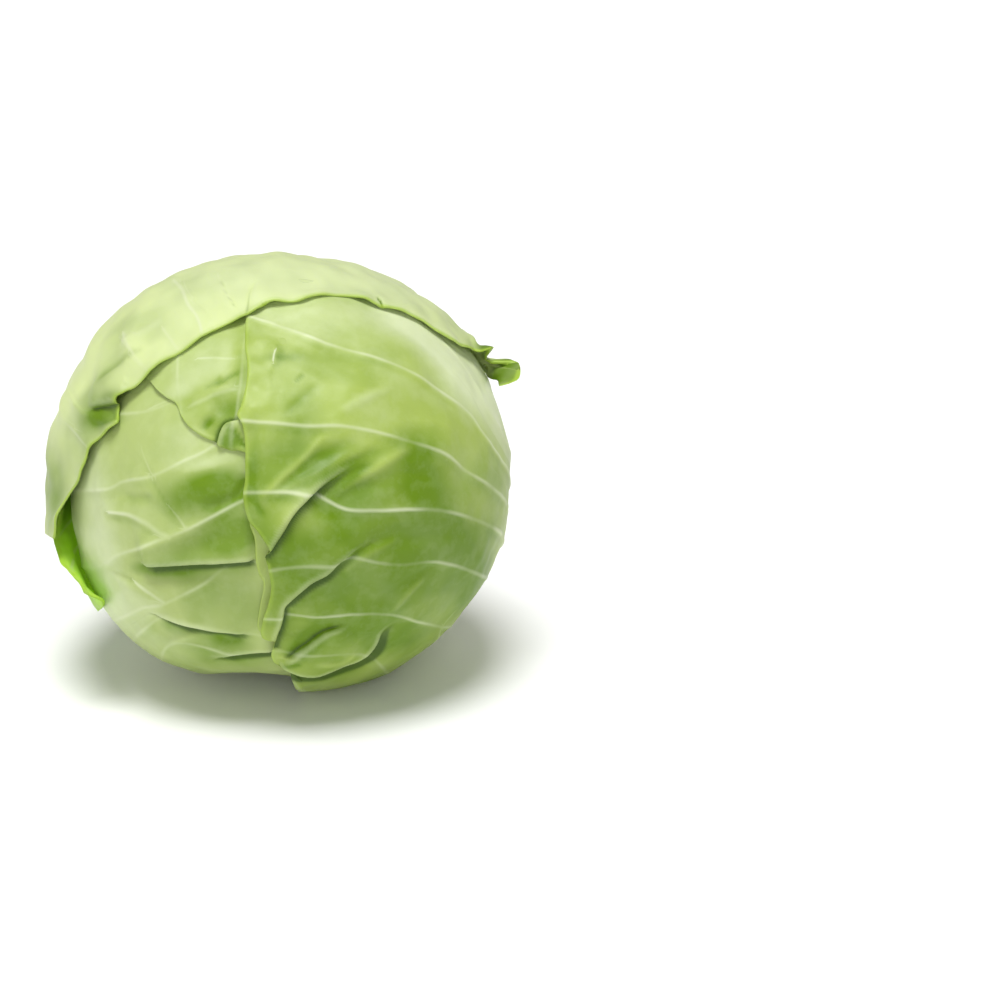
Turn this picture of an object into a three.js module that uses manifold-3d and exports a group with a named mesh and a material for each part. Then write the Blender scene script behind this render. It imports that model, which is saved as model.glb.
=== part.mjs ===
// A whole head of white cabbage, lying as it was put down: crown towards -Y, stem towards +Y.
//
// The head is a tight ball of inner leaves on a short stem, wrapped in five large outer leaves.
// Every outer leaf grows from the stem at the back and ends in a free, waved edge at the front.
// A leaf is lofted through its own veins, and each vein is a line on the head from the stem to the
// leaf's edge. The leaves lie over each other at fixed levels above the ball.
// Units are millimetres, +Z is up, and the origin is the middle of the flat spot the head rests on.

import * as THREE from 'three';
import { mergeVertices } from 'three/addons/utils/BufferGeometryUtils.js';
import Module from 'manifold-3d';

// Driving dimensions
const HEAD_HALF_WIDTH = 77.5;
const HEAD_HALF_DEPTH = 73.5;
const HEAD_HALF_HEIGHT = 73.5;
const HEAD_LEFTWARD_SHIFT = 2.5;
const HEAD_CENTRE_HEIGHT = 79.2;
const LEAF_PITCH = 3.0;
const BLADE_THICKNESS = 1.0;
const BASE_THICKENING = 1.0;
const STEM_RADIUS = 15;
const CORE_TIP_RADIUS = 9;
const CORE_DEPTH = 50;
const STEM_BEYOND_CENTRE = 91;
const FIT_GAP = 0.4;
const LEAF_ROWS = 14;
const HEART_RINGS = 14;
const HEART_SECTORS = 28;

// Levels count outwards from the ball of inner leaves. The leaf on the rest spot sets the floor.
const LEVEL = { left: 1, middle: 2, outer: 2.4, right: 3, cap: 4 };
const REST_LEVEL = LEVEL.right;

const radians = THREE.MathUtils.degToRad;
const { clamp, lerp, smoothstep } = THREE.MathUtils;
const centre = new THREE.Vector3(0, 0, HEAD_CENTRE_HEIGHT);

// The stem axis points back, a little to the right and a little down.
const STEM_TURN = radians(10);
const STEM_DROP = radians(13);
const stemAxis = new THREE.Vector3(
  Math.sin(STEM_TURN) * Math.cos(STEM_DROP),
  Math.cos(STEM_TURN) * Math.cos(STEM_DROP),
  -Math.sin(STEM_DROP),
);
const stemRight = new THREE.Vector3().crossVectors(stemAxis, new THREE.Vector3(0, 0, 1)).normalize();
const stemUp = new THREE.Vector3().crossVectors(stemRight, stemAxis);

// Looking down on the crown from in front, which is how the free edges are given below.
const EYE_ELEVATION = radians(20);
const EYE_DISTANCE = 1100;
const EYE_RIGHT = 80.5;
const EYE_UP = -10;
const sightRight = new THREE.Vector3(1, 0, 0);
const sightUp = new THREE.Vector3(0, Math.sin(EYE_ELEVATION), Math.cos(EYE_ELEVATION));
const sightAhead = new THREE.Vector3(0, Math.cos(EYE_ELEVATION), -Math.sin(EYE_ELEVATION));
const eye = new THREE.Vector3()
  .addScaledVector(sightRight, EYE_RIGHT)
  .addScaledVector(sightUp, EYE_UP)
  .addScaledVector(sightAhead, -EYE_DISTANCE);

// A direction from the head's centre: an angle from the stem and a bearing round it, in degrees.
// Bearing 0 is to the right as seen from the crown, 90 is up, 180 left and 270 down.
function around(fromStem, bearing) {
  const tilt = radians(fromStem);
  const turn = radians(bearing);
  return new THREE.Vector3()
    .addScaledVector(stemAxis, Math.cos(tilt))
    .addScaledVector(stemRight, Math.sin(tilt) * Math.cos(turn))
    .addScaledVector(stemUp, Math.sin(tilt) * Math.sin(turn))
    .normalize();
}

// Where the sight line through a point, given in mm right and up of the head's centre, meets the
// head grown by an amount. A point outside the outline gives the nearest place on the rim.
function sightMeets(right, up, growth) {
  const size = new THREE.Vector3(HEAD_HALF_WIDTH, HEAD_HALF_DEPTH, HEAD_HALF_HEIGHT).addScalar(growth);
  const start = eye.clone().divide(size);
  const aim = new THREE.Vector3()
    .addScaledVector(sightRight, right)
    .addScaledVector(sightUp, up)
    .sub(eye)
    .divide(size);
  const a = aim.dot(aim);
  const b = start.dot(aim);
  const c = start.dot(start) - 1;
  const inside = Math.max(0, b * b - a * c);
  const along = (-b - Math.sqrt(inside)) / a;
  return start.addScaledVector(aim, along).multiply(size);
}

const rimTowards = (right, up) => sightMeets(right, up, 0).normalize();

// Swellings and dents: a height in mm that fades over a reach in mm from a direction.
function swelling(direction, bumps) {
  return bumps.reduce((sum, [at, height, reach]) => {
    const away = direction.angleTo(at) * HEAD_HALF_WIDTH;
    return sum + height * Math.exp(-(away * away) / (2 * reach * reach));
  }, 0);
}

const ballBumps = [
  [rimTowards(-52, -68), 8.5, 38],
  [rimTowards(60, -62), 2, 30],
  [rimTowards(-12, -76), -4.5, 11],
];
const capBumps = [[rimTowards(-95, -5), 1.8, 60]];
const outerBumps = [[rimTowards(-90, -30), 1.5, 30]];

function ballRadius(direction) {
  const { x, y, z } = direction;
  const round = 1 / Math.hypot(x / HEAD_HALF_WIDTH, y / HEAD_HALF_DEPTH, z / HEAD_HALF_HEIGHT);
  return round - HEAD_LEFTWARD_SHIFT * x + swelling(direction, ballBumps);
}

// Gives the function that turns a seen point into a direction on one level of leaves.
const SIGHT_STEPS = 5;
function sightOn(level, bumps = []) {
  return (right, up) => {
    let growth = LEVEL[level] * LEAF_PITCH;
    let point = sightMeets(right, up, growth);
    for (let step = 0; step < SIGHT_STEPS; step += 1) {
      const direction = point.clone().normalize();
      const radius = ballRadius(direction) + LEVEL[level] * LEAF_PITCH + swelling(direction, bumps);
      growth += radius - point.length();
      point = sightMeets(right, up, growth);
    }
    return point.normalize();
  };
}

// Each level is pressed flat where the head rests, by as much as the leaves outside it leave. The
// outermost level has a sharp-edged flat, and the flats further in are rounder and rounder.
const FLAT_ROUNDING = 1.3;
function pressedFlat(direction, radius, lift) {
  if (direction.z >= 0) return radius;
  const levelsIn = REST_LEVEL - lift / LEAF_PITCH;
  const flat = (HEAD_CENTRE_HEIGHT - levelsIn * LEAF_PITCH) / -direction.z;
  if (levelsIn < 0.5) return Math.min(radius, flat);
  const softness = FLAT_ROUNDING * levelsIn;
  return radius - softness * Math.log1p(Math.exp((radius - flat) / softness));
}

function placeAt(direction, radius) {
  return direction.clone().multiplyScalar(radius).add(centre);
}

// Folds in a leaf: the surface rises towards the fold line on its upper side and drops at the line.
const FOLD_REACH = 13;
const upperSide = sightUp.clone().addScaledVector(sightRight, -0.8).normalize();
function foldHeight(direction, folds) {
  return folds.reduce((sum, { line, height, start }) => {
    let nearest = Infinity;
    let share = 0;
    let above = false;
    for (let i = 0; i + 1 < line.length; i += 1) {
      const chord = line[i + 1].clone().sub(line[i]);
      const from = direction.clone().sub(line[i]);
      const t = clamp(from.dot(chord) / chord.lengthSq(), 0, 1);
      const away = from.clone().addScaledVector(chord, -t);
      const distance = away.length() * HEAD_HALF_WIDTH;
      if (distance < nearest) {
        nearest = distance;
        share = (i + t) / (line.length - 1);
        above = away.dot(upperSide) > 0;
      }
    }
    const fade = Math.sin(Math.PI * lerp(start, 1, share));
    return sum + (above ? height * fade * Math.exp(-nearest / FOLD_REACH) : 0);
  }, 0);
}

// A leaf's veins run from the base arc on the stem to the leaf's edge.
const BASE_ANGLE = 12;
const VEIN_SAMPLES = 60;
const fromBase = (bearing, ...points) => [around(BASE_ANGLE, bearing), ...points];

function veinLine(points) {
  const curve = new THREE.CatmullRomCurve3(points, false, 'centripetal');
  curve.arcLengthDivisions = VEIN_SAMPLES;
  return (share) => curve.getPointAt(share).normalize();
}

function spline(p0, p1, p2, p3, t) {
  return new THREE.Vector3(...['x', 'y', 'z'].map((k) => 0.5 * (
    2 * p1[k] + (p2[k] - p0[k]) * t
    + (2 * p0[k] - 5 * p1[k] + 4 * p2[k] - p3[k]) * t * t
    + (3 * p1[k] - p0[k] - 3 * p2[k] + p3[k]) * t * t * t)));
}

// The direction at a place across the veins (0 to the last vein) and along them (0 to 1).
function leafDirection(veins, across, along) {
  const last = veins.length - 1;
  const j = Math.min(last - 1, Math.floor(across));
  const at = (k) => veins[k](along);
  const p1 = at(j);
  const p2 = at(j + 1);
  const p0 = j > 0 ? at(j - 1) : p1.clone().multiplyScalar(2).sub(p2);
  const p3 = j < last - 1 ? at(j + 2) : p2.clone().multiplyScalar(2).sub(p1);
  return spline(p0, p1, p2, p3, across - j).normalize();
}

// Columns of a leaf's mesh: each rib has a crest between two feet, and each panel sags between ribs.
const RIB_FOOT_AT_STEM = 4.5;
const RIB_FOOT_AT_EDGE = 1.8;
const WIDEST_FOOT = 0.3;
const MIDRIB_WIDENING = 1.7;
const PANEL_SAG = 0.35;
const EDGE_WAVE = 0.7;
const EDGE_WAVE_TURN = 2.4;
const EDGE_WAVE_FADE = 6;

function leafColumns(leaf) {
  const last = leaf.veins.length - 1;
  const columns = [{ across: 0, side: 0, kind: 'plain' }];
  for (let vein = 1; vein <= last; vein += 1) {
    columns.push({ across: vein - 0.5, side: 0, kind: 'panel' });
    if (leaf.strength[vein] > 0) {
      columns.push({ across: vein, side: -1, kind: 'foot' });
      columns.push({ across: vein, side: 0, kind: 'crest' });
      columns.push({ across: vein, side: 1, kind: 'foot' });
    } else {
      columns.push({ across: vein, side: 0, kind: 'plain' });
    }
  }
  return columns;
}

// How far a rib's foot lies from its crest, as a share of the space between two veins.
function footShare(lines, vein, along, strength) {
  const before = lines[Math.max(0, vein - 1)](along);
  const after = lines[Math.min(lines.length - 1, vein + 1)](along);
  const spacing = (before.angleTo(after) * HEAD_HALF_WIDTH) / 2;
  const widening = lerp(1, MIDRIB_WIDENING, Math.max(0, strength - 1));
  const foot = lerp(RIB_FOOT_AT_STEM, RIB_FOOT_AT_EDGE, along) * widening;
  return Math.min(WIDEST_FOOT, foot / Math.max(spacing, 0.1));
}

// Distance of the blade's underside from the head's centre
function undersideRadius(leaf, direction, column, along) {
  const lift = LEVEL[leaf.level] * LEAF_PITCH - BLADE_THICKNESS;
  const folded = foldHeight(direction, leaf.folds ?? []);
  const swollen = swelling(direction, leaf.bumps ?? []);
  const flared = leaf.flare ? leaf.flare(column.across, along) : 0;
  const wave = EDGE_WAVE * Math.abs(Math.sin(EDGE_WAVE_TURN * column.across)) * along ** EDGE_WAVE_FADE;
  const panel = column.kind === 'panel' ? wave - PANEL_SAG * Math.sin(Math.PI * along) : 0;
  return ballRadius(direction) + lift + folded + swollen + flared + panel;
}

function leafSurface(leaf) {
  const lines = leaf.veins.map(veinLine);
  const columns = leafColumns(leaf);
  const lift = LEVEL[leaf.level] * LEAF_PITCH;
  const outer = [];
  const inner = [];
  for (let row = 0; row <= LEAF_ROWS; row += 1) {
    const along = row / LEAF_ROWS;
    const thickness = BLADE_THICKNESS + BASE_THICKENING * (1 - smoothstep(along, 0, 0.3));
    for (const column of columns) {
      const strength = leaf.strength[column.across] ?? 0;
      const beside = column.side ? column.side * footShare(lines, column.across, along, strength) : 0;
      const direction = leafDirection(lines, column.across + beside, along);
      const rib = column.kind === 'crest' ? leaf.ribHeight(along) * strength : 0;
      const under = undersideRadius(leaf, direction, column, along);
      const top = pressedFlat(direction, under + thickness + rib, lift);
      const bottom = Math.min(pressedFlat(direction, under, lift), top - BLADE_THICKNESS);
      outer.push(placeAt(direction, top));
      inner.push(placeAt(direction, bottom));
    }
  }
  return { outer, inner, width: columns.length, height: LEAF_ROWS + 1 };
}

// Closes the outer and inner faces of a leaf into one body, with the same triangles on both faces.
function leafGeometry(leaf) {
  const { outer, inner, width, height } = leafSurface(leaf);
  const index = [];
  const faced = outer.length;
  const quad = (a, b, c, d) => index.push(a, b, c, a, c, d);
  for (let row = 0; row + 1 < height; row += 1) {
    for (let column = 0; column + 1 < width; column += 1) {
      const a = row * width + column;
      const b = a + 1;
      const d = a + width;
      const c = d + 1;
      quad(a, b, c, d);
      index.push(faced + a, faced + c, faced + b, faced + a, faced + d, faced + c);
    }
  }
  const rim = [];
  for (let column = 0; column < width; column += 1) rim.push(column);
  for (let row = 1; row < height; row += 1) rim.push(row * width + width - 1);
  for (let column = width - 2; column >= 0; column -= 1) rim.push((height - 1) * width + column);
  for (let row = height - 2; row > 0; row -= 1) rim.push(row * width);
  rim.forEach((a, i) => {
    const b = rim[(i + 1) % rim.length];
    quad(b, a, faced + a, faced + b);
  });
  return closedGeometry([...outer, ...inner], index);
}

function closedGeometry(points, index) {
  const geometry = new THREE.BufferGeometry();
  geometry.setAttribute('position', new THREE.Float32BufferAttribute(points.flatMap((p) => p.toArray()), 3));
  geometry.setIndex(index);
  if (signedVolume(geometry) < 0) {
    for (let i = 0; i < index.length; i += 3) [index[i + 1], index[i + 2]] = [index[i + 2], index[i + 1]];
    geometry.setIndex(index);
  }
  geometry.computeVertexNormals();
  return geometry;
}

function signedVolume(geometry) {
  const position = geometry.getAttribute('position');
  const index = geometry.getIndex();
  const corner = (i) => new THREE.Vector3().fromBufferAttribute(position, index.getX(i));
  let volume = 0;
  for (let i = 0; i < index.count; i += 3) {
    volume += corner(i).dot(corner(i + 1).cross(corner(i + 2))) / 6;
  }
  return volume;
}

// Outer leaves
const wrapperRib = (along) => lerp(3.2, 0.7, smoothstep(along, 0, 0.55));
const coveredRib = (along) => lerp(1.0, 0.6, smoothstep(along, 0, 0.4));

const onLeft = sightOn('left');
const leftLeaf = {
  name: 'leaf_left',
  level: 'left',
  ribHeight: coveredRib,
  strength: [0, 0.5, 0.6, 0.8, 1.4, 0.8, 0.8, 0.6, 0, 0.4, 0],
  folds: [{ start: 0.1, height: 3, line: [onLeft(-64, -35), onLeft(-36, -34.5), onLeft(-13, -32.5)] }],
  veins: [
    fromBase(190, around(45, 162), around(75, 138), around(98, 124), onLeft(-30, 58), onLeft(-18, 56)),
    fromBase(196, around(45, 172), around(82, 154), onLeft(-62, 38), onLeft(-34, 44), onLeft(-8, 44)),
    fromBase(202, around(50, 182), around(85, 170), onLeft(-57, 24), onLeft(-30, 33), onLeft(-3, 32)),
    fromBase(208, around(55, 194), around(85, 187), onLeft(-65, -3), onLeft(-40, 5), onLeft(0, 16)),
    fromBase(215, around(55, 206), around(85, 204), onLeft(-60, -29), onLeft(-31, -16), onLeft(2, -4)),
    fromBase(222, around(55, 218), around(85, 220), onLeft(-56, -51), onLeft(-33, -42), onLeft(2, -32)),
    fromBase(228, around(55, 228), around(85, 229), onLeft(-50, -55), onLeft(-23, -60), onLeft(0, -58)),
    fromBase(232, around(55, 236), around(82, 239), onLeft(-46, -67), onLeft(-22, -68), onLeft(2, -67)),
    fromBase(235, around(53, 243), around(80, 248), onLeft(-29, -74), onLeft(-8, -76), onLeft(4, -73)),
    fromBase(238, around(50, 250), around(77, 258), around(92, 266), around(98, 274)),
    fromBase(242, around(35, 256), around(60, 274), around(78, 282)),
  ],
};

const onMiddle = sightOn('middle');
const middleLeaf = {
  name: 'leaf_middle',
  level: 'middle',
  ribHeight: coveredRib,
  strength: [0, 0, 0.5, 0, 0.8, 0, 1, 0, 0.6, 0, 0],
  veins: [
    fromBase(82, around(45, 110), around(78, 126), around(96, 132), onMiddle(-64, 40), onMiddle(-57, 40)),
    fromBase(77, around(48, 100), around(82, 114), onMiddle(-50, 58), onMiddle(-54, 42), onMiddle(-50, 32)),
    fromBase(73, around(50, 92), around(85, 104), onMiddle(-40, 60), onMiddle(-44, 40), onMiddle(-43, 24)),
    fromBase(69, around(50, 86), around(86, 97), onMiddle(-28, 62), onMiddle(-32, 38), onMiddle(-35, 14.5)),
    fromBase(65, around(50, 81), around(87, 91), onMiddle(-16, 62), onMiddle(-20, 35), onMiddle(-23, 9)),
    fromBase(61, around(50, 77), around(88, 87), onMiddle(-5, 60), onMiddle(-8, 30), onMiddle(-12, -6)),
    fromBase(57, around(50, 73), around(88, 83), onMiddle(6, 58), onMiddle(2, 15), onMiddle(-11, -24)),
    fromBase(52, around(50, 69), around(88, 78), onMiddle(15, 56), onMiddle(8, 5), onMiddle(-7, -40)),
    fromBase(47, around(50, 65), around(88, 73), onMiddle(24, 54), onMiddle(18, 0), onMiddle(-6, -55)),
    fromBase(42, around(50, 60), around(88, 67), onMiddle(34, 50), onMiddle(28, 0), onMiddle(2, -60)),
    fromBase(37, around(50, 54), around(85, 60), onMiddle(44, 44), onMiddle(38, 0), onMiddle(18, -48)),
  ],
};

const onRight = sightOn('right');
const underFront = [around(87, 273), onRight(4, -80)];
const rightLeaf = {
  name: 'leaf_right',
  level: 'right',
  ribHeight: wrapperRib,
  strength: [0, 0.4, 0.5, 0.6, 0.8, 0.8, 0.9, 0.9, 1.3, 0.5, 0],
  folds: [
    { start: 0.35, height: 4, line: [onRight(-9, -30), onRight(0, -18), onRight(8, -6), onRight(25, 3)] },
    { start: 0.35, height: 4, line: [onRight(-7, -64), onRight(-2, -50), onRight(8, -41), onRight(34, -25)] },
    { start: 0.35, height: 3, line: [onRight(-4, -72), onRight(3, -67), onRight(12, -61), onRight(22, -57)] },
    { start: 0.35, height: 3, line: [onRight(-3, -75), onRight(15, -76), onRight(34, -63), onRight(50, -40)] },
  ],
  veins: [
    fromBase(293, around(38, 262), around(58, 248), around(70, 253), around(78, 262), ...underFront),
    fromBase(299, around(45, 284), around(80, 283), around(94, 281), onRight(-2, -77)),
    fromBase(305, around(52, 300), around(84, 298), onRight(26, -69), onRight(-6, -72)),
    fromBase(311, around(55, 313), around(86, 319), onRight(42, -55), onRight(20, -54), onRight(-11.5, -58)),
    fromBase(317, around(58, 325), around(88, 335), onRight(56, -34), onRight(30, -33), onRight(-8, -38)),
    fromBase(323, around(60, 335), around(88, 347), onRight(60, -14.5), onRight(33, -14), onRight(-18, -8)),
    fromBase(329, around(60, 343), around(88, 355), onRight(68, 1), onRight(31, 16.5), onRight(-20.5, 22)),
    fromBase(335, around(60, 350), around(88, 3), onRight(69, 22), onRight(36, 43), onRight(-18, 52)),
    fromBase(342, around(60, 357), around(86, 11), onRight(73, 33), onRight(44.5, 63), onRight(-12, 74)),
    fromBase(348, around(50, 10), around(78, 28), around(98, 48), around(106, 76)),
    fromBase(353, around(38, 24), around(60, 45), around(80, 68)),
  ],
};

const onOuter = sightOn('outer', outerBumps);
const outerLeaf = {
  name: 'leaf_outer',
  level: 'outer',
  ribHeight: coveredRib,
  strength: [0, 0.6, 1, 0.8, 0.6, 0],
  bumps: outerBumps,
  flare: (across, along) => lerp(2.5, 0, across / 5) * smoothstep(along, 0.5, 1),
  veins: [
    fromBase(150, around(45, 168), around(72, 178), onOuter(-92, -10)),
    fromBase(157, around(48, 178), around(74, 188), onOuter(-93, -25)),
    fromBase(164, around(50, 188), around(75, 197), onOuter(-86, -38)),
    fromBase(171, around(50, 197), around(76, 205), onOuter(-79.5, -45.5)),
    fromBase(178, around(48, 206), around(74, 211), onOuter(-73, -51)),
    fromBase(185, around(42, 213), around(60, 216), around(72, 216)),
  ],
};

// The cap leaf's edge has a torn notch on the left, and torn tips that bend out on the right.
const TORN_TIP_HEIGHT = 11;
const TORN_TIPS = [[16, 0.7], [18, 1], [19, 0.9]];
const tornTip = (across, along) => TORN_TIPS.reduce((most, [tip, size]) => {
  const beside = Math.max(0, 1 - Math.abs(across - tip));
  return Math.max(most, TORN_TIP_HEIGHT * size * beside * smoothstep(along, 0.88, 1));
}, 0);
const onCap = sightOn('cap', capBumps);
const capLeaf = {
  name: 'leaf_cap',
  level: 'cap',
  ribHeight: wrapperRib,
  strength: [0, 0.4, 0, 0.6, 0, 0, 0, 0.8, 0, 1.3, 0, 0.8, 0, 0.6, 0, 0.4, 0, 0, 0, 0, 0],
  bumps: capBumps,
  flare: tornTip,
  veins: [
    fromBase(146, around(40, 176), around(66, 190), onCap(-93, -26)),
    fromBase(143, around(45, 168), around(74, 180), onCap(-94, -14), onCap(-88, -10)),
    fromBase(139, around(50, 162), around(80, 172), onCap(-90, 8), onCap(-80.5, 4)),
    fromBase(135, around(52, 157), around(84, 164), onCap(-84, 20), onCap(-73.5, 16)),
    fromBase(131, around(54, 153), around(86, 158), onCap(-82, 27), onCap(-68, 21)),
    fromBase(129, around(54, 151), around(86, 155), onCap(-82, 32), onCap(-77, 25.5)),
    fromBase(127, around(54, 148), around(86, 151), onCap(-78, 38), onCap(-68, 30)),
    fromBase(123, around(54, 141), around(87, 142), onCap(-68, 52), onCap(-56.5, 38.5)),
    fromBase(119, around(54, 132), around(88, 131), onCap(-55, 62), onCap(-42, 48)),
    fromBase(115, around(54, 122), around(88, 119), onCap(-38, 70), onCap(-25.5, 58)),
    fromBase(111, around(54, 111), around(88, 106), onCap(-18, 76), onCap(-8.5, 67)),
    fromBase(107, around(52, 99), around(86, 94), onCap(4, 78), onCap(10, 69)),
    fromBase(103, around(50, 86), around(84, 80), onCap(24, 75), onCap(25, 69)),
    fromBase(99, around(48, 74), around(80, 66), onCap(40, 68), onCap(43, 63)),
    fromBase(96, around(46, 64), around(76, 54), onCap(60, 57), onCap(62, 52)),
    fromBase(94, around(44, 58), around(70, 44), onCap(74, 46)),
    fromBase(92, around(42, 55), around(68, 41), onCap(78, 49)),
    fromBase(91, around(41, 53), around(66, 39), onCap(76, 45)),
    fromBase(90, around(40, 51), around(65, 38), onCap(88, 43)),
    fromBase(89, around(39, 50), around(63, 36), onCap(88, 37)),
    fromBase(88, around(36, 48), around(56, 35), around(72, 31)),
  ],
};

// Ball of inner leaves, and the stem with its core, which runs in at the back
function ballGeometry() {
  const points = [placeAt(stemAxis, ballRadius(stemAxis))];
  for (let ring = 1; ring < HEART_RINGS; ring += 1) {
    for (let sector = 0; sector < HEART_SECTORS; sector += 1) {
      const direction = around((180 * ring) / HEART_RINGS, (360 * sector) / HEART_SECTORS);
      points.push(placeAt(direction, pressedFlat(direction, ballRadius(direction), 0)));
    }
  }
  const crown = stemAxis.clone().negate();
  points.push(placeAt(crown, ballRadius(crown)));
  const index = [];
  const at = (ring, sector) => 1 + (ring - 1) * HEART_SECTORS + (sector % HEART_SECTORS);
  for (let sector = 0; sector < HEART_SECTORS; sector += 1) {
    index.push(0, at(1, sector), at(1, sector + 1));
    index.push(points.length - 1, at(HEART_RINGS - 1, sector + 1), at(HEART_RINGS - 1, sector));
    for (let ring = 1; ring + 1 < HEART_RINGS; ring += 1) {
      const [a, b] = [at(ring, sector), at(ring, sector + 1)];
      const [c, d] = [at(ring + 1, sector + 1), at(ring + 1, sector)];
      index.push(a, c, b, a, d, c);
    }
  }
  return closedGeometry(points, index);
}

// The stem is turned about its own axis and placed along the stem axis of the head.
function stemGeometry(extra) {
  const cutFace = STEM_BEYOND_CENTRE;
  const profile = [
    [0, cutFace - CORE_DEPTH - extra],
    [CORE_TIP_RADIUS + extra, cutFace - CORE_DEPTH - extra],
    [STEM_RADIUS - 1 + extra, cutFace - 22],
    [STEM_RADIUS - 1 + extra, cutFace - 8],
    [STEM_RADIUS - 2 + extra, cutFace - 1.5],
    [STEM_RADIUS - 3.5 + extra, cutFace + extra],
    [0, cutFace + extra],
  ];
  return new THREE.LatheGeometry(profile.map(([r, y]) => new THREE.Vector2(r, y)), 20);
}

function placeStem(object) {
  object.position.copy(centre);
  object.quaternion.setFromUnitVectors(new THREE.Vector3(0, 1, 0), stemAxis);
  object.updateMatrixWorld();
  return object;
}

function toSolid(wasm, geometry, matrix) {
  const bare = geometry.clone();
  bare.deleteAttribute('normal');
  bare.deleteAttribute('uv');
  bare.applyMatrix4(matrix);
  const merged = mergeVertices(bare, 1e-4);
  return new wasm.Manifold(new wasm.Mesh({
    numProp: 3,
    vertProperties: new Float32Array(merged.getAttribute('position').array),
    triVerts: new Uint32Array(merged.getIndex().array),
  }));
}

function fromSolid(solid) {
  const { vertProperties, triVerts } = solid.getMesh();
  const geometry = new THREE.BufferGeometry();
  geometry.setAttribute('position', new THREE.BufferAttribute(new Float32Array(vertProperties), 3));
  geometry.setIndex(new THREE.BufferAttribute(new Uint32Array(triVerts), 1));
  geometry.computeVertexNormals();
  return geometry;
}

const wasm = await Module();
wasm.setup();

const paint = (color) => new THREE.MeshStandardMaterial({ color, roughness: 0.5, metalness: 0 });
const materials = {
  left: paint(0xb9cf8a),
  middle: paint(0xaac96c),
  right: paint(0xa2c25c),
  outer: paint(0x8fbf45),
  cap: paint(0xbcd585),
  ball: paint(0xdde6ae),
  stem: paint(0xe6e8c8),
};

function mesh(name, geometry, material) {
  const made = new THREE.Mesh(geometry, material);
  made.name = name;
  return made;
}

const core = placeStem(new THREE.Object3D());
const ball = toSolid(wasm, ballGeometry(), new THREE.Matrix4())
  .subtract(toSolid(wasm, stemGeometry(FIT_GAP), core.matrixWorld));

const cabbage = new THREE.Group();
cabbage.add(mesh('inner_head', fromSolid(ball), materials.ball));
cabbage.add(placeStem(mesh('stem', mergeVertices(stemGeometry(0)), materials.stem)));
for (const leaf of [leftLeaf, middleLeaf, rightLeaf, outerLeaf, capLeaf]) {
  cabbage.add(mesh(leaf.name, leafGeometry(leaf), materials[leaf.level]));
}

export default cabbage;
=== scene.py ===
import math

import bpy
import numpy as np
from bpy.props import FloatProperty, FloatVectorProperty, PointerProperty
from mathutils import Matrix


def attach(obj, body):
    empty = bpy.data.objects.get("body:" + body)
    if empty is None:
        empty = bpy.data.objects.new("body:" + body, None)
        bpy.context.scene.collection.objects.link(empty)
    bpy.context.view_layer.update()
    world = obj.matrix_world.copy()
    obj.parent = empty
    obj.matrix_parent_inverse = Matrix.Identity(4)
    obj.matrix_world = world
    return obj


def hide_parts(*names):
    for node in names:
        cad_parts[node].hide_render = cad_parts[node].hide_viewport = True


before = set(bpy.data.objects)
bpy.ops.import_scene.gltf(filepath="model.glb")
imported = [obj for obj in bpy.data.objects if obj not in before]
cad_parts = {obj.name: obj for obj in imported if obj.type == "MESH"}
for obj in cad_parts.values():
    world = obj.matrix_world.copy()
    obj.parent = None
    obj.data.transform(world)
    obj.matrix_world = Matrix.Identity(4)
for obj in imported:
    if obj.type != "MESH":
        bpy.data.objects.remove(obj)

bl_info = {
    "name": "White cabbage head",
    "version": (1, 0, 0),
    "blender": (4, 5, 0),
    "location": "3D View > Sidebar > Cabbage",
    "description": "A whole head of white cabbage wrapped in five large outer leaves",
    "category": "Add Mesh",
}

# Shapes are worked out in millimetres about the head's centre and put into the meshes in metres.
MM = 0.001

# The head is looked at from in front of its crown and a little above it.
EYE_ELEVATION = math.radians(20)
EYE_DISTANCE = 1100.0
EYE_RIGHT = 80.5
EYE_UP = -10.0
PICTURE_WIDTH = 387.0
SIGHT_RIGHT = np.array([1.0, 0.0, 0.0])
SIGHT_UP = np.array([0.0, math.sin(EYE_ELEVATION), math.cos(EYE_ELEVATION)])
SIGHT_AHEAD = np.array([0.0, math.cos(EYE_ELEVATION), -math.sin(EYE_ELEVATION)])
EYE = EYE_RIGHT * SIGHT_RIGHT + EYE_UP * SIGHT_UP - EYE_DISTANCE * SIGHT_AHEAD

# The stem axis points back, a little to the right and a little down.
STEM_TURN = math.radians(10)
STEM_DROP = math.radians(13)
STEM_AXIS = np.array([
    math.sin(STEM_TURN) * math.cos(STEM_DROP),
    math.cos(STEM_TURN) * math.cos(STEM_DROP),
    -math.sin(STEM_DROP),
])
STEM_RIGHT = np.cross(STEM_AXIS, [0.0, 0.0, 1.0]) / math.cos(STEM_DROP)
STEM_UP = np.cross(STEM_RIGHT, STEM_AXIS)

LEFTWARD_SHIFT = 2.5
REST_LEVEL = 3.0
FLAT_ROUNDING = 1.3
BALL_SEED = 11
BALL_WAVE = 0.5
BALL_WAVE_LENGTHS = (60, 110)
BASE_ANGLE = 12.0
ANGLE_REACH = 77.5  # millimetres on the head for one radian at its centre


# Small numpy helpers

def unit(vectors):
    """Vectors divided by their length."""
    return vectors / np.linalg.norm(vectors, axis=-1, keepdims=True)


def smooth(low, high, value):
    """Rises from 0 at low to 1 at high as 3t^2 - 2t^3."""
    t = np.clip((value - low) / (high - low), 0.0, 1.0)
    return t * t * (3.0 - 2.0 * t)


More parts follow.
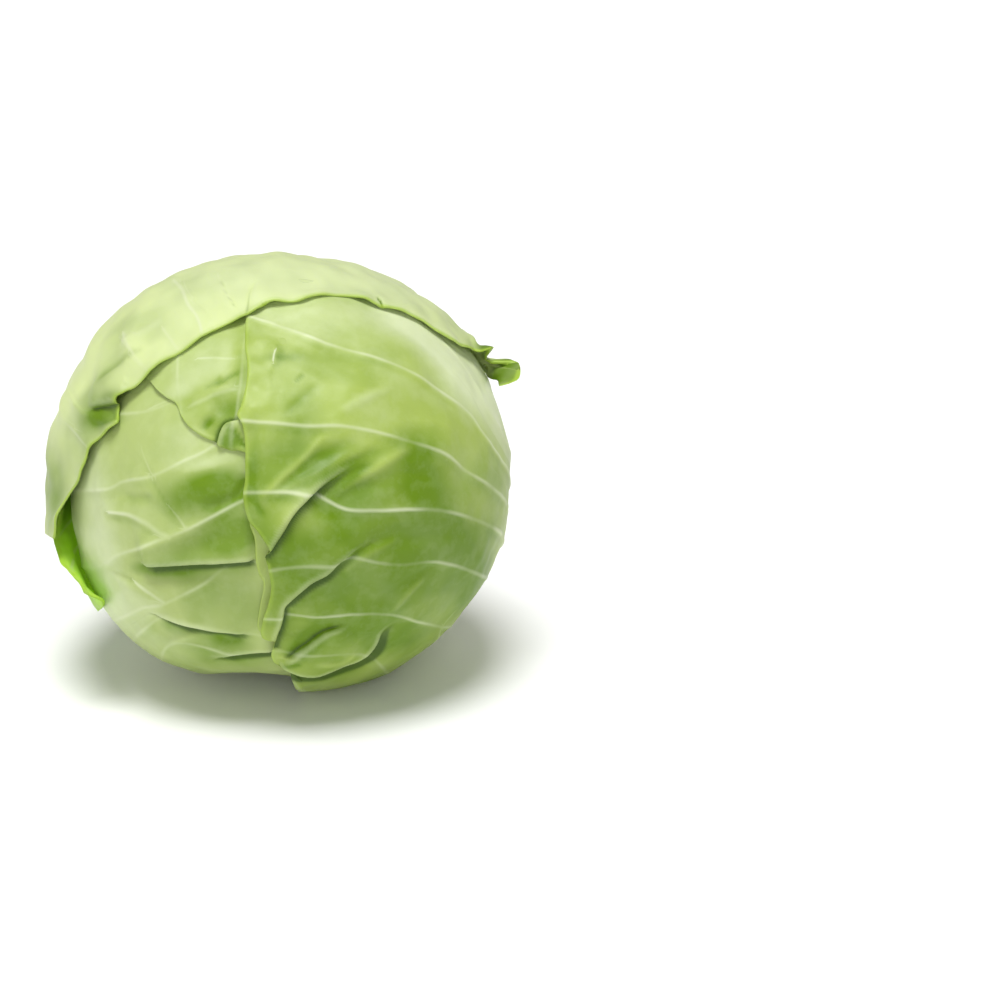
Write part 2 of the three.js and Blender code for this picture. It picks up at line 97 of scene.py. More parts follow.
def around(from_stem, bearing):
    """Direction at an angle from the stem and a bearing round it, in degrees: 0 right, 90 up."""
    tilt = np.radians(np.asarray(from_stem, float))[..., None]
    turn = np.radians(np.asarray(bearing, float))[..., None]
    sideways = np.cos(turn) * STEM_RIGHT + np.sin(turn) * STEM_UP
    return np.cos(tilt) * STEM_AXIS + np.sin(tilt) * sideways


def curve_through(points, shares):
    """Points at shares of the length of the centripetal Catmull-Rom curve through the points."""
    points = np.asarray(points, float)
    ends = 2 * points[[0, -1]] - points[[1, -2]]
    padded = np.vstack([ends[:1], points, ends[1:]])
    knots = np.cumsum(np.append(0, np.sqrt(np.linalg.norm(np.diff(padded, axis=0), axis=1))))
    fine = np.linspace(knots[1], knots[-2], 40 * len(points))
    i = np.clip(np.searchsorted(knots, fine, side="right") - 1, 1, len(padded) - 3)

    def blend(a, b, first, last):
        t = ((fine - knots[i + first]) / (knots[i + last] - knots[i + first]))[:, None]
        return a + (b - a) * t

    before, start, end, after = (padded[i + k] for k in (-1, 0, 1, 2))
    a1, a2, a3 = blend(before, start, -1, 0), blend(start, end, 0, 1), blend(end, after, 1, 2)
    curve = blend(blend(a1, a2, -1, 1), blend(a2, a3, 0, 2), 0, 1)
    length = np.cumsum(np.append(0, np.linalg.norm(np.diff(curve, axis=0), axis=1)))
    wanted = np.asarray(shares, float) * length[-1]
    return np.stack([np.interp(wanted, length, axis) for axis in curve.T], axis=1)


def waves(directions, seed, shortest, longest, count=16):
    """A smooth random height near -1 to 1: the mean of plane waves of random axis and length."""
    rng = np.random.default_rng(seed)
    axes = unit(rng.normal(size=(count, 3)))
    turns = 2 * np.pi * ANGLE_REACH / rng.uniform(shortest, longest, count)
    phases = rng.uniform(0, 2 * np.pi, count)
    return np.sin(directions @ (axes * turns[:, None]).T + phases).sum(-1) / math.sqrt(count)


BLOCK = 4096


def nearest_on(directions, lines):
    """Nearest place on a set of lines, each a row of directions.

    The nearest sample is the one with the largest dot product. The offset from it, less its part
    along the line's tangent, gives the distance in mm, and the side is the sign of that offset
    against the cross product of the sample and the tangent. Beyond a line's end the whole offset
    counts. Returns the distance, the side, the line's number and the share along the line.
    """
    samples = np.concatenate(lines)
    tangents = np.concatenate([unit(np.gradient(line, axis=0)) for line in lines])
    numbers = np.repeat(np.arange(len(lines)), [len(line) for line in lines])
    shares = np.concatenate([np.linspace(0, 1, len(line)) for line in lines])
    flat = directions.reshape(-1, 3)
    table = samples.astype(np.float32).T
    blocks = [flat[k:k + BLOCK].astype(np.float32) @ table for k in range(0, len(flat), BLOCK)]
    best = np.concatenate([block.argmax(axis=1) for block in blocks])
    offset = flat - samples[best]
    along = (offset * tangents[best]).sum(-1)
    beyond = ((shares[best] == 0) & (along < 0)) | ((shares[best] == 1) & (along > 0))
    across = offset - np.where(beyond, 0.0, along)[:, None] * tangents[best]
    side = np.sign((offset * np.cross(samples[best], tangents[best])).sum(-1))
    shape = directions.shape[:-1]
    distance = np.linalg.norm(across, axis=-1) * ANGLE_REACH
    return (distance.reshape(shape), side.reshape(shape), numbers[best].reshape(shape),
            shares[best].reshape(shape))


# The round form of the head

class Head:
    """The head's round form about its centre, in millimetres, from the sizes of the panel."""

    def __init__(self, sizes):
        self.half = np.array([sizes.half_width, sizes.half_depth, sizes.half_height]) / MM
        self.centre_height = sizes.centre_height / MM
        self.pitch = sizes.leaf_pitch / MM
        self.blade = sizes.blade_thickness / MM
        self.stem_radius = sizes.stem_radius / MM
        # A bump is its direction, its height and how far it reaches.
        self.bumps = [
            (self.rim_towards(-52, -68), 8.5, 38),
            (self.rim_towards(60, -62), 2, 30),
            (self.rim_towards(-12, -76), -4.5, 11),
        ]
        self.cap_bumps = [(self.rim_towards(-95, -5), 1.8, 60)]
        self.outer_bumps = [(self.rim_towards(-90, -30), 1.5, 30)]

    def sight_meets(self, right, up, growth):
        """Where the sight line through a point right and up of the centre meets the grown form.

        It is the nearer root of the line and ellipsoid equation. Outside the outline the root's
        square is taken as 0, which gives the nearest place on the rim.
        """
        size = self.half + np.asarray(growth, float)[..., None]
        right, up = np.asarray(right, float)[..., None], np.asarray(up, float)[..., None]
        start = EYE / size
        aim = (right * SIGHT_RIGHT + up * SIGHT_UP - EYE) / size
        a = (aim * aim).sum(-1)
        b = (start * aim).sum(-1)
        c = (start * start).sum(-1) - 1
        along = (-b - np.sqrt(np.maximum(0.0, b * b - a * c))) / a
        return (start + along[..., None] * aim) * size

    def rim_towards(self, right, up):
        """Direction of the ball's place seen right and up of the centre, or nearest to that."""
        return unit(self.sight_meets(right, up, 0.0))

    def swelling(self, directions, bumps):
        """Sum of height * exp(-away^2 / (2 reach^2)), away being millimetres from a direction."""
        total = np.zeros(directions.shape[:-1])
        for at, height, reach in bumps:
            away = np.arccos(np.clip(directions @ at, -1, 1)) * ANGLE_REACH
            total = total + height * np.exp(-away ** 2 / (2 * reach ** 2))
        return total

    def radius(self, directions):
        """Ball radius: an ellipsoid, shifted left, with swellings and slow natural waves."""
        slow = BALL_WAVE * waves(directions, BALL_SEED, *BALL_WAVE_LENGTHS)
        return (1 / np.linalg.norm(directions / self.half, axis=-1)
                - LEFTWARD_SHIFT * directions[..., 0]
                + self.swelling(directions, self.bumps) + slow)

    def seen(self, right, up, lift, bumps=()):
        """Direction whose place at a lift above the ball is seen at a point right and up.

        The form grows by the difference between the wanted and the found radius, six times.
        """
        right, up = np.broadcast_arrays(np.asarray(right, float), np.asarray(up, float))
        lift = np.broadcast_to(np.asarray(lift, float), right.shape)
        growth = lift.copy()
        for _ in range(6):
            point = self.sight_meets(right, up, growth)
            wanted = self.radius(unit(point)) + lift + self.swelling(unit(point), bumps)
            growth = growth + wanted - np.linalg.norm(point, axis=-1)
        return unit(self.sight_meets(right, up, growth))

    def in_view(self, directions, radius):
        """Right and up in the plane through the centre where a place is seen, and how it faces."""
        place = directions * radius[..., None] - EYE
        stretch = EYE_DISTANCE / (place @ SIGHT_AHEAD)
        right = EYE_RIGHT + stretch * (place @ SIGHT_RIGHT)
        up = EYE_UP + stretch * (place @ SIGHT_UP)
        return right, up, smooth(-0.05, 0.12, -(directions @ SIGHT_AHEAD))

    def pressed_flat(self, directions, radius, lift):
        """Radius cut off by the level where the leaf lies on the ones outside it.

        The outermost level is cut sharply. Further in the cut is a soft minimum,
        radius - s log(1 + exp((radius - flat) / s)), with s growing by the levels inwards.
        """
        levels_in = REST_LEVEL - lift / self.pitch
        down = np.maximum(1e-3, -directions[..., 2])
        flat = (self.centre_height - levels_in * self.pitch) / down
        softness = FLAT_ROUNDING * max(levels_in, 1e-6)
        if levels_in < 0.5:
            pressed = np.minimum(radius, flat)
        else:
            pressed = radius - softness * np.log1p(np.exp(np.minimum((radius - flat) / softness, 50)))
        return np.where(directions[..., 2] < 0, pressed, radius)

    def place(self, directions, radius):
        """Points in the part's frame, in millimetres."""
        return directions * radius[..., None] + np.array([0.0, 0.0, self.centre_height])


# What each leaf is like
#
# Places are right and up of the head's centre in the view, in mm, chosen on the photograph.
#
# level: how many leaf pitches the leaf lies above the ball. seed: for its random waves.
# back_rows, front_rows: rows of its grid over the first 0.4 of its length and over the rest.
# step: about how many mm lie from one column of the grid to the next.
# veins: base bearing on the stem, hidden points (angle from the stem, bearing round it), and seen
#     points (right, up). strength: how strong each vein is, with 0 for none. wide: half width at
#     the edge of a vein that isn't narrow there. rib: height in mm near the stem and at the edge.
# upper: the side of each vein, 1 or -1, where its ridge slopes gently. fade: the shares of the
#     leaf's length between which its main veins fade out.
# edge: points of the free edge (right, up, lift above the ball in mm).
# flare: mm that the edge bends out at each vein, or in where it is negative. hug: mm that the leaf
#     lies closer before that.
# tips: (vein, size) of each torn tip.
# lines: fine veins (half width at the start, at the end, brightness, points).
# folds: (height, share of the length to rise over, share where it starts to fall, points). The
#     upper side is on the left of the way a fold is drawn; the leaf rises towards the line on it.
# dents and the patches of tone and painted shading: (right, up, half length, half width, turn in
# degrees, height or darkness). A patch's darkness is partly the leaf's own darker or lighter green and
# partly painted shade, such as on the lower part of a leaf and in hollows; where it is negative it
# paints light.
# strokes: soft ridges and grooves (half width, height, darkness, points); the darkness paints shade
# along a groove and light along a ridge.
# crinkle: height in mm of the fine crinkles. rim_colour: how strongly the thin edge is coloured.
# through: the share of light that comes through the blade.

LEFT = {
    "name": "leaf_left", "level": 1.0, "seed": 21, "back_rows": 50, "front_rows": 111, "step": 0.8,
    "rib": (1.0, 0.6), "strength": [0, 0.3, 0.3, 0.5, 0.65, 0.45, 0.45, 0.3, 0, 0.2, 0],
    "upper": 1,
    "veins": [
        (190, [(45, 162), (75, 138), (98, 124)], [(-30, 58), (-18, 56)]),
        (196, [(45, 172), (82, 154)], [(-62, 38), (-34, 44), (-8, 44)]),
        (202, [(50, 182), (85, 170)], [(-57, 24), (-30, 33), (-3, 32)]),
        (208, [(55, 194), (85, 187)], [(-70.5, -5.5), (-65.5, -3), (-54, -1), (-49, 1), (-40.5, 5.5),
                                       (-34, 8.5), (-20, 17), (0, 24)]),
        (215, [(55, 206), (85, 204)], [(-72.5, -35), (-68, -31.5), (-60.5, -29), (-53.5, -26),
                                       (-48, -24), (-40, -21), (-31, -16.5), (-24.5, -13),
                                       (-19.5, -10.5), (2, -2)]),
        (222, [(55, 218), (85, 220)], [(-56.5, -51), (-48, -49), (-40, -45.5), (-33.5, -42),
                                       (-25.5, -36.5), (-18, -35), (2, -31)]),
        (228, [(55, 228), (85, 229)], [(-50, -56), (-40, -57.5), (-31, -59), (-23, -60.5),
                                       (-14.5, -61), (0, -61)]),
        (232, [(55, 236), (82, 239)], [(-48, -66.5), (-43.5, -65), (-22, -68), (2, -67)]),
        (235, [(53, 243), (80, 248)], [(-29, -74), (-8, -76), (4, -73)]),
        (238, [(50, 250), (77, 258), (92, 266), (98, 274)], []),
        (242, [(35, 256), (60, 274), (78, 282)], []),
    ],
    "lines": [
        (0.5, 0.9, 0.7, [(-70.5, -14.5), (-63, -15.5), (-56.5, -18), (-50.5, -22), (-46, -23.5)]),
        (0.5, 0.7, 0.6, [(-60.5, -41.5), (-55.5, -44.5), (-49, -48.5)]),
        (0.4, 0.5, 0.4, [(-57, 24), (-51, 27), (-45.5, 29), (-38, 31)]),
        (0.3, 0.5, 0.4, [(-47, -12), (-43.5, -16), (-40, -20.5)]),
        (0.3, 0.4, 0.3, [(-57, 9.5), (-55, 4), (-53, -1)]),
    ],
    "folds": [
        (3.4, 0.12, 0.9, [(-60, -34.2), (-52.8, -34.6), (-47, -34.5), (-39.2, -34), (-31.4, -33.5),
                          (-23.6, -32.7), (-12, -32)]),
        (1.7, 0.3, 0.8, [(-34, -72.6), (-25.6, -69.9), (-17.8, -68.5), (-8.1, -67.5), (-2, -66)]),
        (1.9, 0.25, 0.8, [(-58, -51.5), (-47, -55.4), (-41, -57.3), (-34, -58.3), (-27.5, -59.2),
                          (-20.7, -60.7), (-13, -61.2)]),
    ],
    "dents": [
        (-35, -4, 8.5, 6, 20, 2.0), (-50, -39, 11, 2.6, 0, -1.4), (-48.4, -59.5, 4, 2, -10, -1.3),
        (-24.4, -63, 4, 2, 0, -1.2), (-52, 12, 12, 8, 30, 0.9), (-62, -20, 8, 5, 0, 0.5),
        (-34, -27, 12, 3.5, 15, -0.8), (-36, -51, 12, 4, 8, -0.6), (-60, -44, 6, 3, -30, 0.8),
    ],
    "tone_and_shading_patches": [
        (-37, -8, 8, 6, 20, 0.85), (-25, -5, 5, 5, 30, 0.7), (-34, 4, 8, 2.5, 10, -0.7),
        (-31, -26, 14, 5.5, 18, 1.05), (-20, -22, 7, 6, 0, 0.7), (-28, -45, 12, 6, 25, 0.25),
        (-50, -37.5, 9, 2.4, 0, 0.9), (-57, -36, 5, 2, 0, 0.5), (-76, -20, 5, 34, 8, -0.9),
        (-64, -50, 8, 16, 40, -0.6), (-40, 14, 14, 5, 30, -0.35), (-18, -53, 8, 8, 0, 0.55),
        (-30, -70, 16, 4, 0, 0.35), (-48.4, -59.5, 4.5, 2.2, -10, 0.8), (-24.4, -63, 4.5, 2.2, 0, 0.8),
        (-56, -8, 8, 8, 0, 0.15), (-56, 10, 8, 5, 0, 0.2), (-44, -12, 5, 4, 0, 0.25),
    ],
    "strokes": [
        (2.2, -1.3, 1.0, [(-36, -12), (-31, -12), (-26, -11), (-21.5, -9), (-18.5, -5), (-17.5, 2)]),
        (0.8, -0.4, 0.2, [(-58, 8), (-55.5, 3), (-53.8, -0.4), (-50.9, -6.3), (-47, -12.1),
                           (-42.1, -18.9)]),
        (1.0, -0.5, 0.35, [(-73, -36), (-68, -38.5), (-62.5, -41), (-57, -43.5), (-49, -48.5)]),
        (2.0, 0.9, -0.3, [(-60, -29.5), (-50, -26), (-41, -22), (-31, -17)]),
        (1.6, 0.8, -0.3, [(-60, -53), (-50, -54), (-41, -56), (-31, -57.5), (-20, -59.5)]),
        (1.4, 0.6, -0.3, [(-48.4, -67), (-45, -64.6), (-41.1, -63.1), (-35.3, -61.7)]),
        (2.0, -0.6, 0.3, [(-66, -8), (-60, -9.5), (-52, -9)]),
    ],
}

MIDDLE = {
    "name": "leaf_middle", "level": 2.0, "seed": 22, "back_rows": 40, "front_rows": 101,
    "step": 0.9,
    "rib": (1.0, 0.6), "strength": [0, 0, 0.2, 0, 0.2, 0, 0, 0, 0, 0, 0],
    "veins": [
        (82, [(45, 110), (78, 126), (96, 132)], [(-64, 40), (-57, 40)]),
        (77, [(48, 100), (82, 114)], [(-50, 58), (-54, 42), (-50.5, 31.5)]),
        (73, [(50, 92), (85, 104)], [(-40, 60), (-44, 40), (-42.5, 23)]),
        (69, [(50, 86), (86, 97)], [(-28, 62), (-32, 38), (-34.5, 14.5)]),
        (65, [(50, 81), (87, 91)], [(-16, 62), (-20, 35), (-23.5, 9)]),
        (61, [(50, 77), (88, 87)], [(-5, 60), (-8, 30), (-13, -6)]),
        (57, [(50, 73), (88, 83)], [(6, 58), (2, 15), (-14.5, -25)]),
        (52, [(50, 69), (88, 78)], [(15, 56), (8, 5), (-11.5, -41)]),
        (47, [(50, 65), (88, 73)], [(24, 54), (18, 0), (-13, -59.5)]),
        (42, [(50, 60), (88, 67)], [(34, 50), (28, 0), (0, -61)]),
        (37, [(50, 54), (85, 60)], [(44, 44), (38, 0), (18, -48)]),
    ],
    "edge": [
        (-57, 40, 4.6), (-56, 38.5, 4.6), (-52.8, 33.4, 4.6), (-48.9, 29.8, 4.6), (-45.5, 27.9, 4.7),
        (-43, 23.5, 4.7), (-40, 18.6, 4.7), (-35.3, 14.9, 4.8), (-30, 12.3, 4.8),
        (-26.6, 10.2, 4.8), (-23.5, 9.2, 4.8), (-19.5, 9, 4.8), (-14, 4, 4.9), (-13, -6, 4.9),
        (-16.5, -18.5, 4.8), (-14.5, -25, 4.8), (-14, -33, 4.8), (-12.5, -39.5, 4.8),
        (-11, -42, 4.8), (-12.5, -52, 4.8), (-13, -59.5, 4.7), (-9, -63, 4.7), (0, -61, 5.0),
        (18, -48, 6.0),
    ],
    "lines": [
        (0.4, 0.5, 0.4, [(-36.3, 44.9), (-31, 45.3), (-27, 45.2), (-23.6, 45.2)]),
        (0.7, 0.7, 0.2, [(-40, 26.5), (-35.3, 28.6), (-29, 31.6), (-22, 33.6)]),
    ],
    "folds": [
        (0.9, 0.1, 0.95, [(-17.5, 21.2), (-21.5, 20.8), (-25.8, 19.6), (-27.9, 16.5), (-28.9, 13.4),
                          (-29.6, 10.5)]),
    ],
    "dents": [
        (-32, 20.5, 1.3, 0.9, 20, -0.8), (-33.6, 18.6, 1.1, 0.8, 30, -0.7),
        (-38, 21, 8, 3.5, 35, 0.7), (-25.5, 25.5, 4.5, 3, 10, -1.2), (-40, 50, 10, 4, 20, 0.5),
        (-22, 52, 3, 9, -8, -0.6), (-5, 5, 7, 10, -30, -1.2),
    ],
    "tone_and_shading_patches": [
        (-24.5, 25.5, 4.5, 3.2, 10, 0.9), (-34, 19.5, 5, 3, 30, 0.2), (-32, 20.5, 1.5, 1.1, 20, 0.7),
        (-33.6, 18.6, 1.3, 0.9, 30, 0.7), (-25, 12, 3, 3, 0, 0.9), (-23, 15, 4.5, 3.5, 0, 0.5),
        (-34, 29, 10, 2.5, 30, 0.35), (-20, 42, 2, 9, 0, 0.35), (-36, 45, 16, 5, 25, -0.35),
        (-44, 32, 6, 2.5, 35, -0.4), (-34, 38, 10, 3, 25, -0.3),
    ],
    "strokes": [
        (0.7, -0.9, 1.4, [(-25.5, 20), (-24.4, 18.4), (-21.7, 14.7), (-19, 11.3), (-17, 9)]),
        (0.9, -0.5, 0.6, [(-31, 34.5), (-27.5, 36.4), (-24, 38.6), (-19.5, 40.5)]),
        (0.9, -0.4, 0.5, [(-36, 33), (-31, 35.5), (-27, 39)]),
        (1.2, 0.6, -0.3, [(-42, 25.5), (-36, 29.5), (-29, 33), (-22, 35.2)]),
        (0.8, 0.5, -0.5, [(-41, 20), (-36, 16.3), (-31, 13.8), (-28.5, 12.5)]),
    ],
}

RIGHT = {
    "name": "leaf_right", "level": 3.0, "seed": 23, "back_rows": 34, "front_rows": 161,
    "step": 0.86,
    "rib": (3.0, 0.5), "strength": [0, 0.2, 0.2, 0.6, 0.6, 1.1, 0.8, 0.75, 0.8, 0.3, 0],
    "wide": {8: 5.5}, "upper": -1,
    "veins": [
        (293, [(38, 262), (58, 248), (70, 253), (78, 262), (87, 273)], [(4, -80)]),
        (299, [(45, 284), (80, 283), (94, 281)], [(-3, -75.5)]),
        (305, [(52, 300), (84, 298)], [(26, -69), (-7, -68)]),
        (311, [(55, 313), (86, 319)], [(42, -55), (33.5, -54), (23, -54), (10, -55), (0, -54.5),
                                       (-11, -55)]),
        (317, [(58, 325), (88, 335)], [(56.5, -34), (42, -35), (33.5, -34), (24.5, -32), (14, -34),
                                       (4, -35), (-8.8, -37)]),
        (323, [(60, 335), (88, 347)], [(60.5, -14.5), (46, -13.5), (33.5, -14), (21.5, -13.5),
                                       (14, -10), (7.5, -7), (-18.4, -7)]),
        (329, [(60, 343), (88, 355)], [(68, 1), (59, 7.5), (46, 12.5), (31, 16.5), (18, 18.5),
                                       (7.5, 18.5), (-7.5, 20), (-19.3, 20.5)]),
        (335, [(60, 350), (88, 3)], [(74.5, 14.5), (69.5, 22.5), (61.5, 29), (49, 37), (36, 43),
                                     (23, 47.5), (10, 51.5), (-5, 57.5), (-17.5, 61)]),
        (342, [(60, 357), (86, 11)], [(75.5, 25), (73, 31), (59.5, 52), (44.5, 63), (20, 72),
                                      (-12, 74)]),
        (348, [(50, 10), (78, 28), (98, 48), (106, 76)], []),
        (353, [(38, 24), (60, 45), (80, 68)], []),
    ],
    "edge": [
        (4, -80, 9), (0.5, -78.5, 9), (-3, -75.3, 8.6), (-7, -73, 8), (-8, -69.5, 7.4),
        (-6, -64, 7.2), (-9, -62.8, 7), (-12, -61.5, 6.6), (-11.5, -56.5, 6.4),
        (-9.5, -50, 6.4), (-8, -43.5, 6.6), (-8.5, -39.5, 6.8), (-9.5, -33.5, 7),
        (-9, -30, 7.2), (-13, -22, 7), (-16.5, -18, 6.6), (-18.5, -10, 5.4), (-18, -2.5, 5.2),
        (-18, 9.5, 5.6), (-19, 19, 6.8), (-21, 23, 7.4), (-19.5, 26.5, 7.6),
        (-17.5, 36.5, 7.4), (-17.3, 43.5, 7.2), (-18.3, 50, 6.9), (-17.5, 61, 6.7),
        (-15, 68, 7.5), (-12, 74, 9),
    ],
    "lines": [
        (0.5, 0.5, 0.35, [(54.5, -67), (58, -60), (62, -54)]),
        (0.3, 0.3, 0.9, [(-6.6, 48.9), (-7.1, 47), (-7.4, 45)]),
    ],
    "folds": [
        (2.8, 0.02, 0.55, [(-12.5, -33.5), (-9, -30), (-6, -25.7), (-3.1, -21.3), (-0.7, -17),
                           (2.2, -13.1), (5.2, -10.2), (8.1, -7.2), (12.4, -3.8), (16.8, -0.9),
                           (22.7, 2.5), (31, 6)]),
        (2.3, 0.02, 0.55, [(-8, -69.4), (-6.5, -64.6), (-4.6, -59.7), (-3.6, -55.3), (-3.1, -52.4),
                           (-0.7, -49.5), (4.2, -45.1), (8.1, -42.2), (13.9, -38.8), (19, -33.8),
                           (26.5, -28.8), (36, -25)]),
        (1.8, 0.25, 0.8, [(23, -58.2), (18, -60.2), (13.9, -61.7), (10, -64.1), (6.1, -67),
                          (2.2, -69.4), (-1, -71.6), (-5, -73.5)]),
        (1.7, 0.05, 0.75, [(-6, -74), (-3.1, -75.3), (3.2, -77.2), (10, -77.2), (18.8, -74.8),
                           (25.6, -72.4), (29.5, -69.9), (33.3, -66), (35.8, -61.7),
                           (39.2, -58.8), (43, -56.8)]),
    ],
    "dents": [
        (30, -4, 10, 2.5, 20, -0.8), (36, -63, 6, 2.5, 25, -1.2),
        (20, -24, 16, 5, 12, 0.6), (40, 4, 14, 5, 10, 0.5), (24, 32, 16, 6, 15, 0.5),
        (-4, 32, 4, 10, 0, -0.4), (46, -24, 14, 3, 5, -0.8), (8, -17, 8, 4, -40, 0.7),
        (15, -47, 10, 4, 25, 0.5), (52, -50, 5, 10, -20, -0.6), (47, 60, 14, 5, -34, -1.5),
    ],
    "tone_and_shading_patches": [
        (30, -34, 60, 28, -10, 0.88), (40, -5, 20, 6.5, -5, 0.5), (-4, 6, 5, 9, -40, 0.5),
        (34, -24, 26, 4, 4, 0.45), (8, -17, 8, 4.5, -40, -0.3), (6, -26, 12, 4, 0, -0.1),
        (20, -46, 12, 3.5, 28, 0.25), (36, -63, 7, 2.6, 28, 0.9),
        (6.5, -64.5, 7, 2.2, 38, 0.9), (20, -64, 14, 6, 10, 0.3),
        (42, -45, 14, 8, 10, 0.4), (18, 2, 16, 6, 25, 0.35), (62, -30, 8, 24, 15, 0.35),
        (68, 37, 16, 6, -54, -1.5), (50, 57, 18, 5, -35, -1.1), (12, 63, 30, 5, -8, -0.6),
        (0, 56, 16, 3.5, -20, -0.4), (34, 40, 20, 5, -25, -0.3), (34, 25, 16, 5, -20, -0.45),
        (6, 36, 20, 7, -8, 0.35),
        (50, 18, 10, 5, -25, 0.45), (4, 27, 7, 5, 0, 0.3), (20, 46, 10, 2.5, -20, 0.3),
        (-4.6, 45.2, 5.5, 1.2, 0, 0.6), (30, 16, 10, 4, 10, -0.2), (-15, 2, 1.5, 10, -4, 0.4),
    ],
    "strokes": [
        (1.3, 0.8, -0.5, [(18, 16), (12, 14.2), (5.3, 7.1), (-4.4, -1.6), (-11.2, -8.5), (-15, -13)]),
        (2.4, -0.9, 0.45, [(30, 14), (20, 11.5), (8, 4), (-1, -4.2), (-12, -12.5)]),
        (1.1, 0.7, -0.35, [(31, 10), (22, 7), (15, 3.6), (3.4, -1.9), (-4.4, -7), (-12.5, -12.5)]),
        (2.0, -0.6, 0.35, [(38, 11.5), (28, 7), (18, 3), (8, -3)]),
        (2.0, 0.8, -0.45, [(24, 5), (17, 2), (8, -4), (1, -10.5), (-5, -19), (-9, -26)]),
        (1.7, 0.9, -0.55, [(50, 11), (44, 9.5), (37, 5.5), (30, 0.5), (24, -3.5), (17, -8), (12, -11)]),
        (1.6, -0.7, 0.5, [(34, 5), (26, 1.5), (17, -4), (9, -9.5)]),
        (1.0, -0.7, 0.7, [(40, -24), (33, -26), (26.5, -28.8), (18.8, -33.5), (12, -38)]),
        (1.5, 0.7, -0.35, [(46, -22), (38, -27), (30, -31), (22, -36.5), (15, -42)]),
        (2.4, -0.8, 0.45, [(30, -53), (36, -48), (44, -42.5), (52, -37.5), (60, -33)]),
        (1.6, 0.7, -0.3, [(36, -55), (42, -49.5), (48, -43.2), (54, -37.4)]),
        (1.5, 0.6, -0.35, [(-3, -54), (1, -51), (6, -47.2), (13, -43), (20, -39.5)]),
        (1.0, 0.7, -0.5, [(-7, -72), (-3, -71.6), (1, -71.3), (5.2, -70)]),
        (1.0, -0.6, 0.7, [(-4, -74.4), (0, -73.7), (5, -72.4)]),
        (1.3, 0.6, -0.4, [(8, -72), (14, -73), (20, -72), (26, -68)]),
        (1.2, -0.5, 0.4, [(-15.8, -3), (-15.5, -8), (-13.5, -13), (-10, -18)]),
        (2.0, -0.4, 0.25, [(12, 36), (3, 29), (-4, 22)]),
        (0.7, -0.3, 0.5, [(5, 39.5), (3, 38), (1, 36)]),
        (1.5, 0.5, -0.3, [(40, 34), (28, 29), (16, 22)]),
    ],
}

OUTER = {
    "name": "leaf_outer", "level": 2.4, "seed": 24, "back_rows": 34, "front_rows": 67,
    "step": 0.9,
    "rib": (1.0, 0.6), "strength": [0, 0.5, 0.9, 0.7, 0.4, 0],
    "flare": (-2.0, 3.0, 4.0, 3.0, -2.2, -3.5), "hug": 2.6,
    "through": 0.45, "rim_colour": 0.6,
    "veins": [
        (150, [(45, 168), (72, 178)], [(-92, -10)]),
        (157, [(48, 178), (74, 188)], [(-93, -25)]),
        (164, [(50, 188), (75, 197)], [(-86, -38)]),
        (171, [(50, 197), (76, 205)], [(-79.5, -45.5)]),
        (178, [(48, 206), (74, 211)], [(-73, -51)]),
        (185, [(42, 213), (60, 216), (72, 216)], []),
    ],
    "lines": [], "folds": [], "dents": [], "tone_and_shading_patches": [],
}

